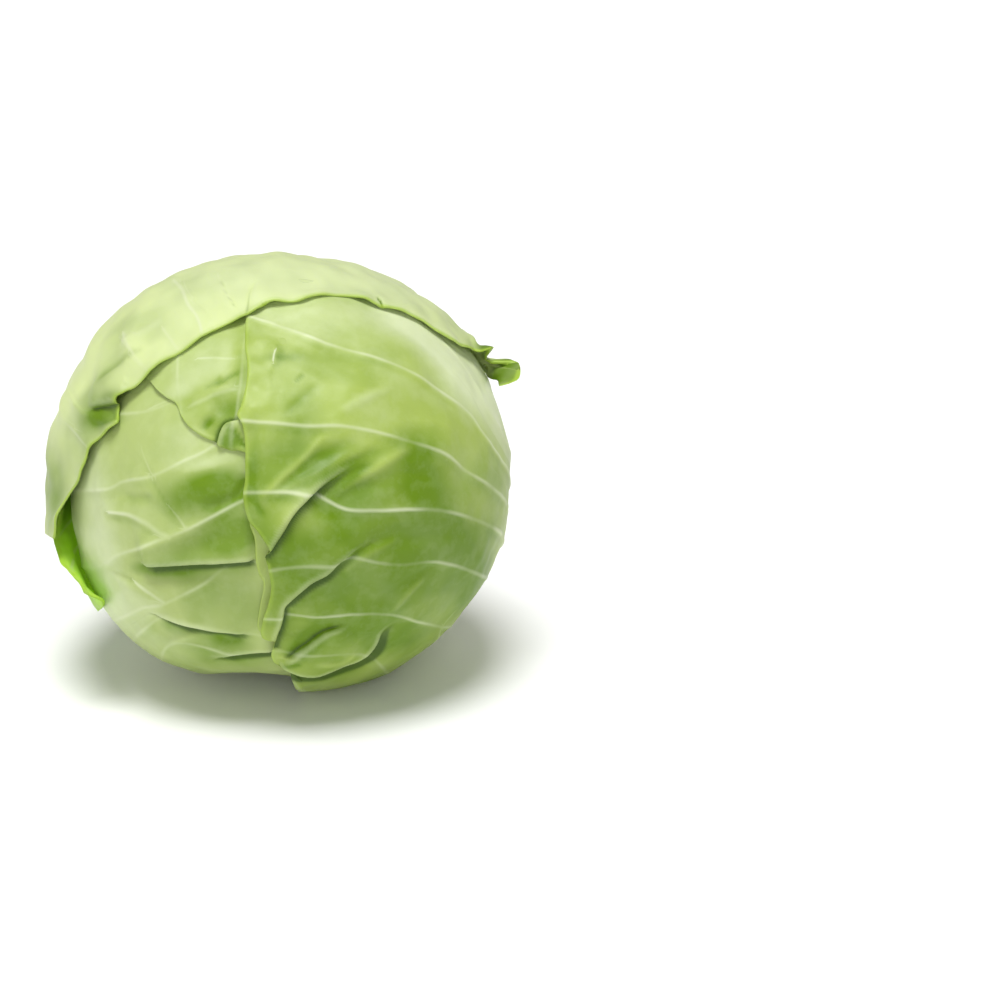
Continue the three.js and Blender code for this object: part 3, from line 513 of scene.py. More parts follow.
CAP = {
    "name": "leaf_cap", "level": 4.0, "seed": 25, "back_rows": 66, "front_rows": 93, "step": 0.9,
    "rib": (3.0, 0.6),
    "strength": [0, 0.4, 0, 0.4, 0, 0, 0, 0.4, 0, 0.8, 0, 0.5, 0, 0.4, 0, 0.3, 0, 0, 0, 0, 0],
    "fade": (0.4, 0.62), "through": 0.15, "rim_colour": 0.75, "crinkle": 0.32,
    "veins": [
        (146, [(40, 176), (66, 190)], [(-92.5, -25)]),
        (143, [(45, 168), (74, 180)], [(-94, -14), (-88, -9.5)]),
        (139, [(50, 162), (80, 172)], [(-90, 8), (-80.5, 4)]),
        (135, [(52, 157), (84, 164)], [(-84, 20), (-73.5, 16.3)]),
        (131, [(54, 153), (86, 158)], [(-82, 24), (-67.6, 20.1)]),
        (129, [(54, 151), (86, 155)], [(-83, 28.5), (-68.1, 25.5)]),
        (127, [(54, 148), (86, 151)], [(-81, 34), (-67.2, 30.3)]),
        (123, [(54, 141), (87, 142)], [(-68, 52), (-56.5, 38.5)]),
        (119, [(54, 132), (88, 131)], [(-55, 62), (-42, 48)]),
        (115, [(54, 122), (88, 119)], [(-38, 70), (-25.5, 58)]),
        (111, [(54, 111), (88, 106)], [(-18, 76), (-8.5, 67)]),
        (107, [(52, 99), (86, 94)], [(4, 78), (10, 69)]),
        (103, [(50, 86), (84, 80)], [(24, 75), (25, 69)]),
        (99, [(48, 74), (80, 66)], [(40, 68), (42.5, 63.5)]),
        (96, [(46, 64), (76, 54)], [(60, 57), (62, 52)]),
        (94, [(44, 58), (70, 44)], [(73, 47)]),
        (92, [(42, 55), (68, 41)], [(78, 49)]),
        (91, [(41, 53), (66, 39)], [(76, 45)]),
        (90, [(40, 51), (65, 38)], [(88, 43)]),
        (89, [(39, 50), (63, 36)], [(88.4, 37.5)]),
        (88, [(36, 48), (58, 34)], [(81, 34.4)]),
    ],
    "edge": [
        (-92.5, -25, 12), (-91, -16, 10.6), (-88, -9.5, 8), (-83.5, -2.5, 5.4),
        (-80.5, 4, 4.6), (-77.5, 11, 4.3), (-73, 15.5, 4.2), (-70, 17.6, 4.2), (-67.6, 20.1, 4.6),
        (-68.3, 23.2, 4.6), (-68, 26.5, 5.0), (-67.2, 30.3, 5.3), (-61.5, 33.5, 5.6), (-56.5, 38.5, 6.4),
        (-50, 43.5, 6.6), (-42, 48, 6.7), (-33.5, 53.5, 6.8), (-25.5, 58, 7.2),
        (-16.5, 62.5, 8.4), (-8.5, 67, 9.5), (3, 67.5, 9.7), (10, 69, 9.7), (16.5, 69.5, 9.7),
        (23, 69, 9.7), (34.5, 66, 10.1), (42, 64, 10.4), (49, 61, 10.5), (56.5, 56, 10.5),
        (64, 50.5, 10.6), (70, 48.3, 12), (73, 47.5, 14), (78, 49, 18), (76, 45, 13),
        (82, 44, 18), (87.6, 43.2, 23), (88.4, 37.5, 22), (81, 34.4, 14),
    ],
    "lines": [
        (0.6, 0.5, 0.6, [(-45.7, 75), (-43.2, 72.6), (-41.1, 67.2), (-38.2, 63.3), (-36.3, 55.6)]),
        (0.5, 0.5, 0.45, [(-51.9, 58.5), (-49.9, 55.6), (-47, 51.7), (-43.1, 50.7)]),
        (0.6, 0.5, 0.5, [(-65.9, 55.1), (-65, 51.7), (-62.5, 45.8), (-57.7, 40.5)]),
        (0.5, 0.5, 0.5, [(-90.7, 21.5), (-86.8, 12.8), (-82, 7)]),
        (0.4, 0.4, 0.4, [(-29, 78), (-27, 73), (-24, 69)]),
    ],
    "folds": [
        (1.5, 0.25, 0.98, [(-84, 26.4), (-81.2, 27.9), (-78.2, 29.1), (-74.5, 30.1), (-69.8, 31.5)]),
    ],
    "dents": [
        (-60, 52, 16, 8, 35, 0.8), (-30, 66, 18, 4, 25, 0.6), (-84, 14, 5, 10, -25, 0.6),
        (20, 72, 20, 1.5, 0, -0.5), (-70, 33, 5, 3, 25, 0.8), (-71, 25.2, 3.6, 2.6, 30, -1.0),
    ],
    "tone_and_shading_patches": [
        (-86, 4, 7, 24, -22, 0.6), (-69.8, 24.4, 5.2, 3.0, 30, 1.8), (84, 39, 8, 9, 0, 5.0),
        (-40, 62, 24, 7, 38, -0.2), (10, 76, 40, 8, 0, -0.6), (55, 58, 26, 6, -38, -0.3),
        (-68, 36, 10, 6, 30, 0.25),
    ],
    "strokes": [
        (0.6, -0.5, 0.8, [(-29, 78), (-27, 73.4), (-24.5, 69.5), (-21, 66)]),
        (0.7, -0.5, 0.7, [(-13.5, 77), (-16.8, 73), (-18, 66.5), (-20, 61)]),
        (0.5, -0.9, 2.0, [(33, 71), (34.6, 69.6), (37, 66.5), (40, 64)]),
        (0.5, -0.7, 2.0, [(-14, 68.4), (-11, 68.3), (-8, 67.6), (-4, 67.4)]),
        (1.6, 0.6, -0.3, [(-70, 50), (-60, 56), (-50, 63)]),
        (1.4, -0.5, 0.3, [(-80, 36), (-70, 45), (-58, 52)]),
        (1.2, 0.5, -0.3, [(-85, 0), (-82, 10), (-80, 18)]),
        (0.6, 0.5, 0.0, [(-81.7, 29), (-81.2, 27), (-79.6, 24.8), (-77.5, 23), (-75.2, 22),
                         (-69.8, 21.5)]),
        (0.5, -0.6, 0.6, [(-78.4, 27.7), (-77, 25.6), (-75.1, 24.1)]),
    ],
    "tips": [(16, 0.7), (18, 1.0), (19, 0.9)],
}

LEAVES = [LEFT, MIDDLE, RIGHT, OUTER, CAP]
TIP_HEIGHT = 11.0
TIP_SLOPE = 1.6
TIP_START = 0.88
TUCK_START = 0.72
EDGE_MOVE_START = 0.7
EDGE_SAMPLES = 1500
VEIN_SAMPLES = 420
CELL = 1.1  # mm, about one cell of a leaf's grid
SINK = 1.5  # mm, the most that a leaf sinks below its own level


# How a leaf is worked out

def leaf_bumps(head, leaf):
    """The swellings that only this leaf has."""
    return {"leaf_cap": head.cap_bumps, "leaf_outer": head.outer_bumps}.get(leaf["name"], [])


def vein_points(head, leaf, number):
    """The directions that a vein runs through, from its base on the stem to the leaf's edge."""
    bearing, hidden, shown = leaf["veins"][number]
    points = [around(BASE_ANGLE, bearing)] + [around(*place) for place in hidden]
    lift = leaf["level"] * head.pitch + (leaf["flare"][number] if "flare" in leaf else 0.0)
    points += [head.seen(*place, lift, leaf_bumps(head, leaf)) for place in shown]
    return np.array(points)


def across_veins(lines, across):
    """Uniform Catmull-Rom through the veins' directions, with a straight run-out at both sides."""
    last = len(lines) - 1
    j = np.minimum(last - 1, np.floor(across).astype(int))
    t = (across - j)[:, None, None]
    padded = np.concatenate([2 * lines[:1] - lines[1:2], lines, 2 * lines[-1:] - lines[-2:-1]])
    p0, p1, p2, p3 = (padded[j + k] for k in range(4))
    mixed = 0.5 * (2 * p1 + (p2 - p0) * t + (2 * p0 - 5 * p1 + 4 * p2 - p3) * t ** 2
                   + (3 * p1 - p0 - 3 * p2 + p3) * t ** 3)
    return unit(mixed).transpose(1, 0, 2)


def edge_line(head, leaf, across):
    """The free edge's directions and lifts for each column, and which columns it covers.

    Each vein's last seen point is looked up on the smooth curve through the edge's points, and the
    columns between two veins take even shares of the curve between them.
    """
    curve = curve_through(leaf["edge"], np.linspace(0, 1, EDGE_SAMPLES))
    ends = [(i, vein[2][-1]) for i, vein in enumerate(leaf["veins"]) if vein[2]]
    at = [np.argmin(np.hypot(curve[:, 0] - r, curve[:, 1] - u)) for _, (r, u) in ends]
    numbers = [i for i, _ in ends]
    wanted = np.interp(across, numbers, at)
    rows = np.stack([np.interp(wanted, np.arange(len(curve)), axis) for axis in curve.T], axis=1)
    covered = (across >= numbers[0]) & (across <= numbers[-1])
    directions = head.seen(rows[:, 0], rows[:, 1], rows[:, 2], leaf_bumps(head, leaf))
    return directions, rows[:, 2], covered


def lay_out(head, leaf):
    """The leaf's grid of directions, with a row for each share along the veins.

    The veins are laid out first and joined by a spline across them. Then the free edge is moved on
    to its own waved line, and the move fades out over the outer part of the leaf.
    """
    along = np.concatenate([np.linspace(0, 0.4, leaf["back_rows"], endpoint=False),
                            np.linspace(0.4, 1, leaf["front_rows"])])
    veins = [curve_through(vein_points(head, leaf, k), along) for k in range(len(leaf["veins"]))]
    lines = unit(np.array(veins))
    front = lines[:, along > 0.5]
    gaps = np.linalg.norm(np.diff(front, axis=0), axis=-1).max(axis=1) * ANGLE_REACH
    counts = 2 * np.maximum(2, np.round(gaps / leaf["step"] / 2)).astype(int)
    across = np.concatenate([j + np.arange(n) / n for j, n in enumerate(counts)]
                            + [[len(counts)]])
    directions = across_veins(lines, across)
    lift = np.full(directions.shape[:2], leaf["level"] * head.pitch)
    if "edge" in leaf:
        edge, edge_lift, covered = edge_line(head, leaf, across)
        move = np.where(covered[:, None], edge - directions[-1], 0.0)
        fade = smooth(EDGE_MOVE_START, 1.0, along)[:, None]
        directions = unit(directions + fade[..., None] * move)
        tips = tip_height(leaf, across, 1.0)
        tuck = np.where(covered, edge_lift - lift[-1] - tips, 0.0)
        lift = lift + smooth(TUCK_START, 1.0, along)[:, None] * tuck
    return along, across, directions, lift


def tip_height(leaf, across, along):
    """Torn tips bend out: height * clip(k - k distance) * smooth rise at the edge.

    The distance is in veins from the tip's own, and k is the slope, so that a tip has a flat middle.
    """
    most = np.zeros(np.broadcast(across, along).shape)
    for tip, size in leaf.get("tips", []):
        beside = np.clip(TIP_SLOPE - TIP_SLOPE * np.abs(across - tip), 0.0, 1.0)
        most = np.maximum(most, TIP_HEIGHT * size * beside * smooth(TIP_START, 1.0, along))
    return most


def seen_line(head, leaf, points, step=0.6):
    """Directions along the smooth curve through seen points, about every step mm."""
    points = np.asarray(points, float)
    length = np.linalg.norm(np.diff(points, axis=0), axis=1).sum()
    flat = curve_through(points, np.linspace(0, 1, max(12, int(length / step))))
    lift = leaf["level"] * head.pitch
    return head.seen(flat[:, 0], flat[:, 1], lift, leaf_bumps(head, leaf))


# Folds and strokes fade out where the head turns away from the eye, over these cosines.
TURNED_TO_EYE = (0.0, 0.2)

# Folds. Lengths are in mm, and the others are shares of a fold's height.
FOLD_BAND = 2.2  # the height steps over this distance at each side of the line
FOLD_REACH = 12.0
FOLD_SQUEEZE = 0.88  # share of the distance, at the line
SQUEEZE_REACH = 3.0
FOLD_OVERHANG = 0.35
OVERHANG_REACH = 4.0
HOLLOW_DEPTH = 0.45
HOLLOW_REACH = 3.5
LIP_PLACE = 0.22  # how far the lip's own line lies beyond the moved one, on the lower side
LIP_WIDTH = 1.0
LIP_HIDES = 1.45  # how much of the lower side the lip covers in the view, for a lean of 1
FLATTEST_FACING = 0.25  # keeps the lean from growing without end at the rim
# Width of the painted crease shade, in mm
CREASE_SHADE_WIDTH = 0.9
SHADE_REACH = 2.6
LOWER_SIDE = (-1.4, -0.6)
UPPER_SIDE = (-0.4, 0.6)


def fold(head, leaf, directions):
    """Moves the leaf at its folds, and gives the height they add and the painted shade and highlight
    beside them.

    s is the distance from the line, positive on its upper side, h the fold's height and u a smooth
    step from 0 below the line to 1 above it. Points move across the line by
    -q s exp(-(s / reach)^2), a squeeze that makes the step steep, and by -o h u exp(-s / reach), which
    pushes the upper side over the lower one. The height is h u exp(-s / reach) on the upper side,
    and a hollow of -k h (1 - u) exp(s / reach) on the lower one.
    The painted crease shade exp(-(inside / width)^2) and the painted shade exp(inside / reach) lie on
    the lower side, where inside is 0 under the lip as it is seen and negative away from it. The painted
    highlight on the lip is exp(-((past - width) / width)^2), past being the distance from the lip's own
    line.
    """
    height, crease_shade, shade, lip_highlight = np.zeros((4, *directions.shape[:-1]))
    facing = smooth(*TURNED_TO_EYE, -(directions @ SIGHT_AHEAD))
    for tall, rise, fall, points in leaf["folds"]:
        line = seen_line(head, leaf, points)
        distance, side, _, share = nearest_on(directions, [line])
        s = distance * np.where(side == 0, 1, side)
        size = smooth(-1e-3, rise, share) * (1 - smooth(fall, 1.0, share)) * facing
        upper = smooth(-FOLD_BAND, FOLD_BAND, s)
        squeeze = -s * FOLD_SQUEEZE * np.exp(-(s / SQUEEZE_REACH) ** 2)
        overhang = -FOLD_OVERHANG * tall * upper * np.exp(-np.maximum(s, 0) / OVERHANG_REACH)
        sample = np.round(share * (len(line) - 1)).astype(int)
        tangent = unit(np.gradient(line, axis=0))[sample]
        normal = unit(np.cross(line[sample], tangent))
        shift = (squeeze + overhang) * size / ANGLE_REACH
        directions = unit(directions + shift[..., None] * normal)
        height = height + tall * size * upper * np.exp(-np.maximum(s, 0) / FOLD_REACH)
        hollow = HOLLOW_DEPTH * tall * size * (1 - upper) * np.exp(np.minimum(s, 0) / HOLLOW_REACH)
        height = height - hollow
        past = s + (squeeze + overhang) * size + LIP_PLACE * tall * size
        low = size * (1 - smooth(*LOWER_SIDE, s))
        towards_eye = np.maximum(FLATTEST_FACING, -(directions @ SIGHT_AHEAD))
        lean = -(normal @ SIGHT_AHEAD) / towards_eye
        inside = np.minimum(0, past + LIP_HIDES * tall * size * np.maximum(0, lean))
        # Painted shade: the darkest green goes into the crease just under the lip as it is seen
        crease_shade = np.maximum(crease_shade, low * np.exp(-(inside / CREASE_SHADE_WIDTH) ** 2))
        shade = np.maximum(shade, low * np.exp(inside / SHADE_REACH))
        # Painted highlight along the lip on the fold's upper side
        lip_highlight_here = size * smooth(*UPPER_SIDE, s) * np.exp(-((past - LIP_WIDTH) / LIP_WIDTH) ** 2)
        lip_highlight = np.maximum(lip_highlight, lip_highlight_here)
    return directions, height, crease_shade, shade, lip_highlight


def spots(right, up, facing, rows):
    """Sum of size * exp(-(x^2 / a^2 + y^2 / b^2) / 2) over turned ellipses in the view plane."""
    total = np.zeros(right.shape)
    for x, y, a, b, turn, size in rows:
        c, s = math.cos(math.radians(turn)), math.sin(math.radians(turn))
        du = (right - x) * c + (up - y) * s
        dv = -(right - x) * s + (up - y) * c
        total += size * np.exp(-0.5 * ((du / a) ** 2 + (dv / b) ** 2))
    return total * facing


def strokes(head, leaf, directions):
    """Soft ridges and grooves with their painted shade and light: each is size * exp(-(d / half
    width)^2), with d the distance from its line, and fades out over the quarters at its ends."""
    height = np.zeros(directions.shape[:-1])
    stroke_light_and_shade = np.zeros(directions.shape[:-1])
    facing = smooth(*TURNED_TO_EYE, -(directions @ SIGHT_AHEAD))
    for half, tall, painted_shading, points in leaf.get("strokes", []):
        distance, _, _, share = nearest_on(directions, [seen_line(head, leaf, points)])
        profile = np.exp(-(distance / half) ** 2) * facing
        profile = profile * smooth(0, 0.25, share) * (1 - smooth(0.75, 1, share))
        height, stroke_light_and_shade = height + tall * profile, stroke_light_and_shade + painted_shading * profile
    return height, stroke_light_and_shade


# Veins: half width in mm at the stem for a strength of 1, half width at the edge, and brightness.
VEIN_WIDTH = 2.6
VEIN_END = 0.6
VEIN_NARROWED = 0.65  # share of a vein's length where it has its end's width
VEIN_TAPER = 1.6
VEIN_DIMMEST = 0.16
VEIN_GAIN = 0.5
VEIN_BRIGHTEST = 0.8


def vein_lines(head, leaf, along, across, directions):
    """The leaf's veins as lines with their half widths and brightness, the main ones first."""
    lines, widths = [], []
    for vein, strength in enumerate(leaf["strength"]):
        if strength:
            column = directions[:, np.searchsorted(across, vein)]
            fine = np.linspace(0, 1, VEIN_SAMPLES)
            lines.append(unit(np.stack([np.interp(fine, along, k) for k in column.T], axis=1)))
            end = leaf.get("wide", {}).get(vein, VEIN_END)
            bright = min(VEIN_BRIGHTEST, VEIN_DIMMEST + VEIN_GAIN * strength)
            widths.append((VEIN_WIDTH * math.sqrt(strength), end, bright))
    for start, end, bright, points in leaf["lines"]:
        lines.append(seen_line(head, leaf, points, 0.3))
        widths.append((start, end, bright))
    return lines, np.array(widths)


# Relief of a leaf: heights, reaches and wave lengths in mm, and places as shares of its length
BEND_START = 0.86
BEND_SPAN = 0.14
BEND_POWER = 1.4
HUG_SPAN = (0.4, 0.75)
RIB_WIDENING = 1.25
RIB_FALL_END = 0.55
RIB_FADE = (0.3, 0.68)
RIDGE_RISE = (0.1, 0.5)
RIDGE_REACH = 6.0
RIDGE_STEEP_REACH = 2.6
RIDGE_CREST = 0.3
RIPPLE = 0.45
RIPPLE_LENGTHS = (16, 38)
FINE_RIPPLE = 0.09
FINE_RIPPLE_LENGTHS = (5, 10)
FRILL = 0.35
FRILL_START = 0.9
FRILL_LENGTHS = (7, 16)
CRINKLE_LENGTHS = (8, 15)
DENT_GAIN = 1.5
EDGE_THINNESS = 0.5
EDGE_TAPER = 3.0

# Tones of a leaf, painted shade and painted highlights among them: how much each feature counts, and the
# wave lengths of the slow changes in mm
GLINT_LENGTHS = (14, 35)
GLINT_MEAN = 0.75
GLINT_CHANGE = 0.45
GLINT_LIMITS = (0.25, 1.1)
BASE_PALENESS = 0.95
BASE_PALE_SPAN = (0.08, 0.6)
VEIN_PALENESS = 0.2
VEIN_PALE_REACH = 2.2
# Painted highlight on the lips of folds
LIP_HIGHLIGHT = 0.3
SHADE_DARKNESS = 0.5
# Painted shade just below a vein on its steep side
UNDER_VEIN_SHADE = 0.4
UNDER_VEIN_PLACE = 2.0
UNDER_VEIN_WIDTH = 1.4
# How much negative darkness, which is painted light, makes the leaf paler
PAINTED_LIGHT_PALENESS = 0.8
SLOW_TONE = 0.16
SLOW_TONE_LENGTHS = (18, 40)
PLAIN_RIM_COLOUR = 0.35
RIM_BAND = (0.2, 1.7)


def leaf_surface(head, leaf):
    """All of a leaf's shape and its painted features, painted shade and highlights among them, each one
    value for a vertex.

    Outer radius = ball + lift + swellings + flare + torn tips + relief, and the relief is folds +
    strokes + ribs + ridges + ripples + frill + crinkles + dents. What lies below 0 in the relief is
    held back by m tanh(relief / m), so that the leaf doesn't sink into the one under it.
    A rib is h exp(-(d / w)^2) near the stem, and a ridge is a tent, h exp(-d / reach), along the
    veins; d is the distance to the nearest vein. The underside has every second row and column of
    the grid. Each of its places is the lowest of nine, with the blade's thickness taken off first.
    """
    along, across, flat, lift = lay_out(head, leaf)
    lines, widths = vein_lines(head, leaf, along, across, flat)
    distance, side, number, share = nearest_on(flat, lines)
    start, end, bright = np.moveaxis(widths[number], -1, 0)
    half = end + (start - end) * (1 - smooth(0.0, VEIN_NARROWED, share)) ** VEIN_TAPER
    grid = along[:, None]
    glint = GLINT_MEAN + GLINT_CHANGE * waves(flat, leaf["seed"] + 3, *GLINT_LENGTHS)
    bright = bright * np.clip(glint, *GLINT_LIMITS)
    if "fade" in leaf:
        main = number < np.count_nonzero(leaf["strength"])
        bright = np.where(main, bright * (1 - smooth(*leaf["fade"], grid)), bright)

    directions, height, crease_shade, shade, lip_highlight = fold(head, leaf, flat)
    stroke_height, stroke_light_and_shade = strokes(head, leaf, flat)
    flare = leaf.get("flare", (0.0,))
    bend = np.clip((grid - BEND_START) / BEND_SPAN, 0, 1) ** BEND_POWER
    flare = np.interp(across, np.arange(len(flare)), flare) * bend
    flare = flare - leaf.get("hug", 0.0) * smooth(*HUG_SPAN, grid) * (1 - bend)
    tips = tip_height(leaf, across[None, :], grid)
    base = (head.radius(directions) + lift + head.swelling(directions, leaf_bumps(head, leaf))
            + flare + tips)
    right, up, facing = head.in_view(directions, base)

    tall_rib, low_rib = leaf["rib"]
    rib = low_rib + (tall_rib - low_rib) * (1 - smooth(0.0, RIB_FALL_END, grid))
    ribs = rib * bright * np.exp(-(distance / (half * RIB_WIDENING)) ** 2)
    ribs = ribs * (1 - smooth(*RIB_FADE, grid))
    below = leaf.get("upper", 0) * side < 0
    reach = np.where(below, RIDGE_STEEP_REACH, RIDGE_REACH)
    tent = np.exp(-distance / reach) + RIDGE_CREST * np.exp(-(distance / 1.0) ** 2)
    ridge = bright * smooth(*RIDGE_RISE, grid) * tent
    free = smooth(FRILL_START, 1.0, grid)
    slow_ripple = RIPPLE * waves(directions, leaf["seed"], *RIPPLE_LENGTHS)
    fine_ripple = FINE_RIPPLE * waves(directions, leaf["seed"] + 50, *FINE_RIPPLE_LENGTHS)
    ripple = slow_ripple + fine_ripple
    frill = FRILL * free * waves(directions, leaf["seed"] + 90, *FRILL_LENGTHS)
    crinkle = leaf.get("crinkle", 0.0) * waves(directions, leaf["seed"] + 70, *CRINKLE_LENGTHS)
    dents = DENT_GAIN * spots(right, up, facing, leaf["dents"])
    relief = height + stroke_height + ribs + ridge + ripple + frill + crinkle + dents
    radius = base + np.where(relief < 0, SINK * np.tanh(relief / SINK), relief)

    thickness = head.blade * (1 + (1 - smooth(0, 0.3, grid)))
    step = np.linalg.norm(np.diff(directions, axis=0), axis=-1) * ANGLE_REACH
    to_edge = np.vstack([step[::-1].cumsum(axis=0)[::-1], np.zeros((1, step.shape[1]))])
    thin = EDGE_THINNESS + (1 - EDGE_THINNESS) * smooth(0.0, EDGE_TAPER, to_edge)
    top = head.pressed_flat(directions, radius, leaf["level"] * head.pitch)
    bottom = np.pad(top - thickness * thin, 1, mode="edge")
    rows, columns = top.shape
    lowest = np.min([bottom[i:i + rows, j:j + columns] for i in range(3) for j in range(3)], axis=0)

    # Painted shade on the steep side just below each vein, where its ridge turns away from the light
    under = below * bright * np.exp(-((distance - UNDER_VEIN_PLACE) / UNDER_VEIN_WIDTH) ** 2)
    paleness_and_highlight = (BASE_PALENESS * (1 - smooth(*BASE_PALE_SPAN, grid))
                + VEIN_PALENESS * np.exp(-distance / VEIN_PALE_REACH) * bright
                + LIP_HIGHLIGHT * lip_highlight)
    # Painted shade from patches, strokes, folds and veins, mixed with the leaf's own darker green; where
    # it is negative it is painted light
    darkness_and_painted_shade = (spots(right, up, facing, leaf["tone_and_shading_patches"]) + stroke_light_and_shade
                + SHADE_DARKNESS * shade + UNDER_VEIN_SHADE * under)
    slow_tone = SLOW_TONE * waves(directions, leaf["seed"] + 7, *SLOW_TONE_LENGTHS)
    features = {
        "vein_side": side * distance / half,
        "vein_near": (distance - CELL) / half,
        "vein_bright": bright,
        # Pale is the leaf's own paler green near the stem and veins, plus painted highlights on fold
        # lips and painted light where darkness is negative
        "pale": np.clip(paleness_and_highlight - np.minimum(darkness_and_painted_shade, 0) * PAINTED_LIGHT_PALENESS, 0, 1),
        "crease_shade": np.clip(crease_shade, 0, 1),
        # Deep is the leaf's own darker green plus painted shade in hollows, creases and on lower parts
        "deep": np.clip(darkness_and_painted_shade + slow_tone, 0, 1),
        "margin": leaf.get("rim_colour", PLAIN_RIM_COLOUR) * (1 - smooth(*RIM_BAND, to_edge)),
    }
    outer = head.place(directions, top)
    inner = head.place(directions[::2, ::2], lowest[::2, ::2])
    return outer, inner, {name: np.broadcast_to(v, top.shape) for name, v in features.items()}


# Putting surfaces into meshes

def grid_faces(rows, columns, first=0):
    """Quads of a grid of vertices numbered row by row."""
    at = first + np.arange(rows * columns).reshape(rows, columns)
    return np.stack([at[:-1, :-1], at[:-1, 1:], at[1:, 1:], at[1:, :-1]], axis=-1).reshape(-1, 4)


def border(rows, columns, first=0):
    """The vertex numbers round a grid, in order."""
    at = first + np.arange(rows * columns).reshape(rows, columns)
    return np.concatenate([at[0, :-1], at[:-1, -1], at[-1, :0:-1], at[:0:-1, 0]])


def sheet_faces(rows, columns):
    """Quads and triangles of a closed sheet with a fine outer grid and a coarser inner one.

    The inner grid has every second row and column. Round the rim three triangles join each two
    fine steps to one coarse step.
    """
    coarse_rows, coarse_columns, count = (rows + 1) // 2, (columns + 1) // 2, rows * columns
    outer = grid_faces(rows, columns)
    inner = grid_faces(coarse_rows, coarse_columns, count)[:, ::-1]
    fine, under = border(rows, columns), border(coarse_rows, coarse_columns, count)
    start, middle, end = fine[::2], fine[1::2], np.roll(fine, -2)[::2]
    after = np.roll(under, -1)
    rim = np.concatenate([np.stack([middle, start, under], axis=-1),
                          np.stack([middle, under, after], axis=-1),
                          np.stack([end, middle, after], axis=-1)])
    return np.concatenate([outer, inner]), rim


def turned_faces(rows, sectors):
    """Quads between the rings of a turned piece, and triangles to a point at each of its ends.

    The two end points are numbered after the rings.
    """
    at = np.arange(rows * sectors).reshape(rows, sectors)
    after = np.roll(at, -1, axis=1)
    faces = np.stack([at[:-1], after[:-1], after[1:], at[1:]], axis=-1).reshape(-1, 4)
    first, last = rows * sectors, rows * sectors + 1
    fans = np.concatenate([
        np.stack([np.full(sectors, first), after[0], at[0]], axis=-1),
        np.stack([np.full(sectors, last), at[-1], after[-1]], axis=-1)])
    return faces, fans


def divided(profile, steps):
    """The profile with each straight run divided into steps."""
    shares = np.arange(steps) / steps
    runs = [a + (b - a) * shares[:, None] for a, b in zip(profile[:-1], profile[1:])]
    return np.vstack(runs + [profile[-1:]])


def signed_volume(points, faces, triangles):
    """Sum of the tetrahedra from the origin to every face, which is positive if faces point out."""
    a, b, c, d = (points[faces[:, k]] for k in range(4))
    e, f, g = (points[triangles[:, k]] for k in range(3))
    return ((np.cross(b, c) * a).sum() + (np.cross(c, d) * a).sum()
            + (np.cross(f, g) * e).sum())


def put_mesh(name, points, faces, triangles, features=None, sharp_angle=120):
    """Makes an object of points in millimetres, quads and triangles, with smooth shading."""
    if signed_volume(points, faces, triangles) < 0:
        faces, triangles = faces[:, ::-1], triangles[:, ::-1]
    loops = np.concatenate([faces.ravel(), triangles.ravel()])
    starts = np.concatenate([np.arange(len(faces)) * 4,
                             faces.size + np.arange(len(triangles)) * 3])
    mesh = bpy.data.meshes.new(name)
    mesh.vertices.add(len(points))
    mesh.vertices.foreach_set("co", (points * MM).astype(np.float32).ravel())
    mesh.loops.add(len(loops))
    mesh.loops.foreach_set("vertex_index", loops.astype(np.int32))
    mesh.polygons.add(len(starts))
    mesh.polygons.foreach_set("loop_start", starts.astype(np.int32))
    for feature, values in (features or {}).items():
        attribute = mesh.attributes.new(feature, "FLOAT", "POINT")
        attribute.data.foreach_set("value", np.ascontiguousarray(values, np.float32).ravel())
    mesh.update(calc_edges=True)
    if mesh.validate():
        raise RuntimeError(f"the mesh of {name} isn't sound")
    mesh.shade_smooth()
    mesh.set_sharp_from_angle(angle=math.radians(sharp_angle))
    piece = bpy.data.objects.new(name, mesh)
    bpy.context.scene.collection.objects.link(piece)
    return piece


def stands_for(piece, node):
    """The piece rides on the only body and stands for its CAD node, which is hidden."""
    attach(piece, "root")
    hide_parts(node)


# Materials

def linear(hex_colour):
    """A colour given as #RRGGBB in sRGB, turned to linear values."""
    values = [int(hex_colour[k:k + 2], 16) / 255 for k in (1, 3, 5)]
    return [v / 12.92 if v <= 0.04045 else ((v + 0.055) / 1.055) ** 2.4 for v in values]


def add(tree, kind, inputs=(), output=0, **settings):
    """Adds a node with its settings, sets or links its inputs, and gives one of its outputs.

    Inputs are given by name or number in a dict, or in the node's own order in a tuple.
    """
    node = tree.nodes.new(kind)
    for key, value in settings.items():
        setattr(node, key, value)
    for key, value in inputs.items() if isinstance(inputs, dict) else enumerate(inputs):
        if isinstance(value, bpy.types.NodeSocket):
            tree.links.new(value, node.inputs[key])
        else:
            node.inputs[key].default_value = value
    return node.outputs[output] if node.outputs else None


def new_tree(name):
    """A node material of that name with only its output, and its tree."""
    material = bpy.data.materials.new(name)
    material.use_nodes = True
    material.node_tree.nodes.clear()
    return material, material.node_tree


def rgba(colour):
    """A linear colour with full opacity."""
    return (*colour[:3], 1.0)


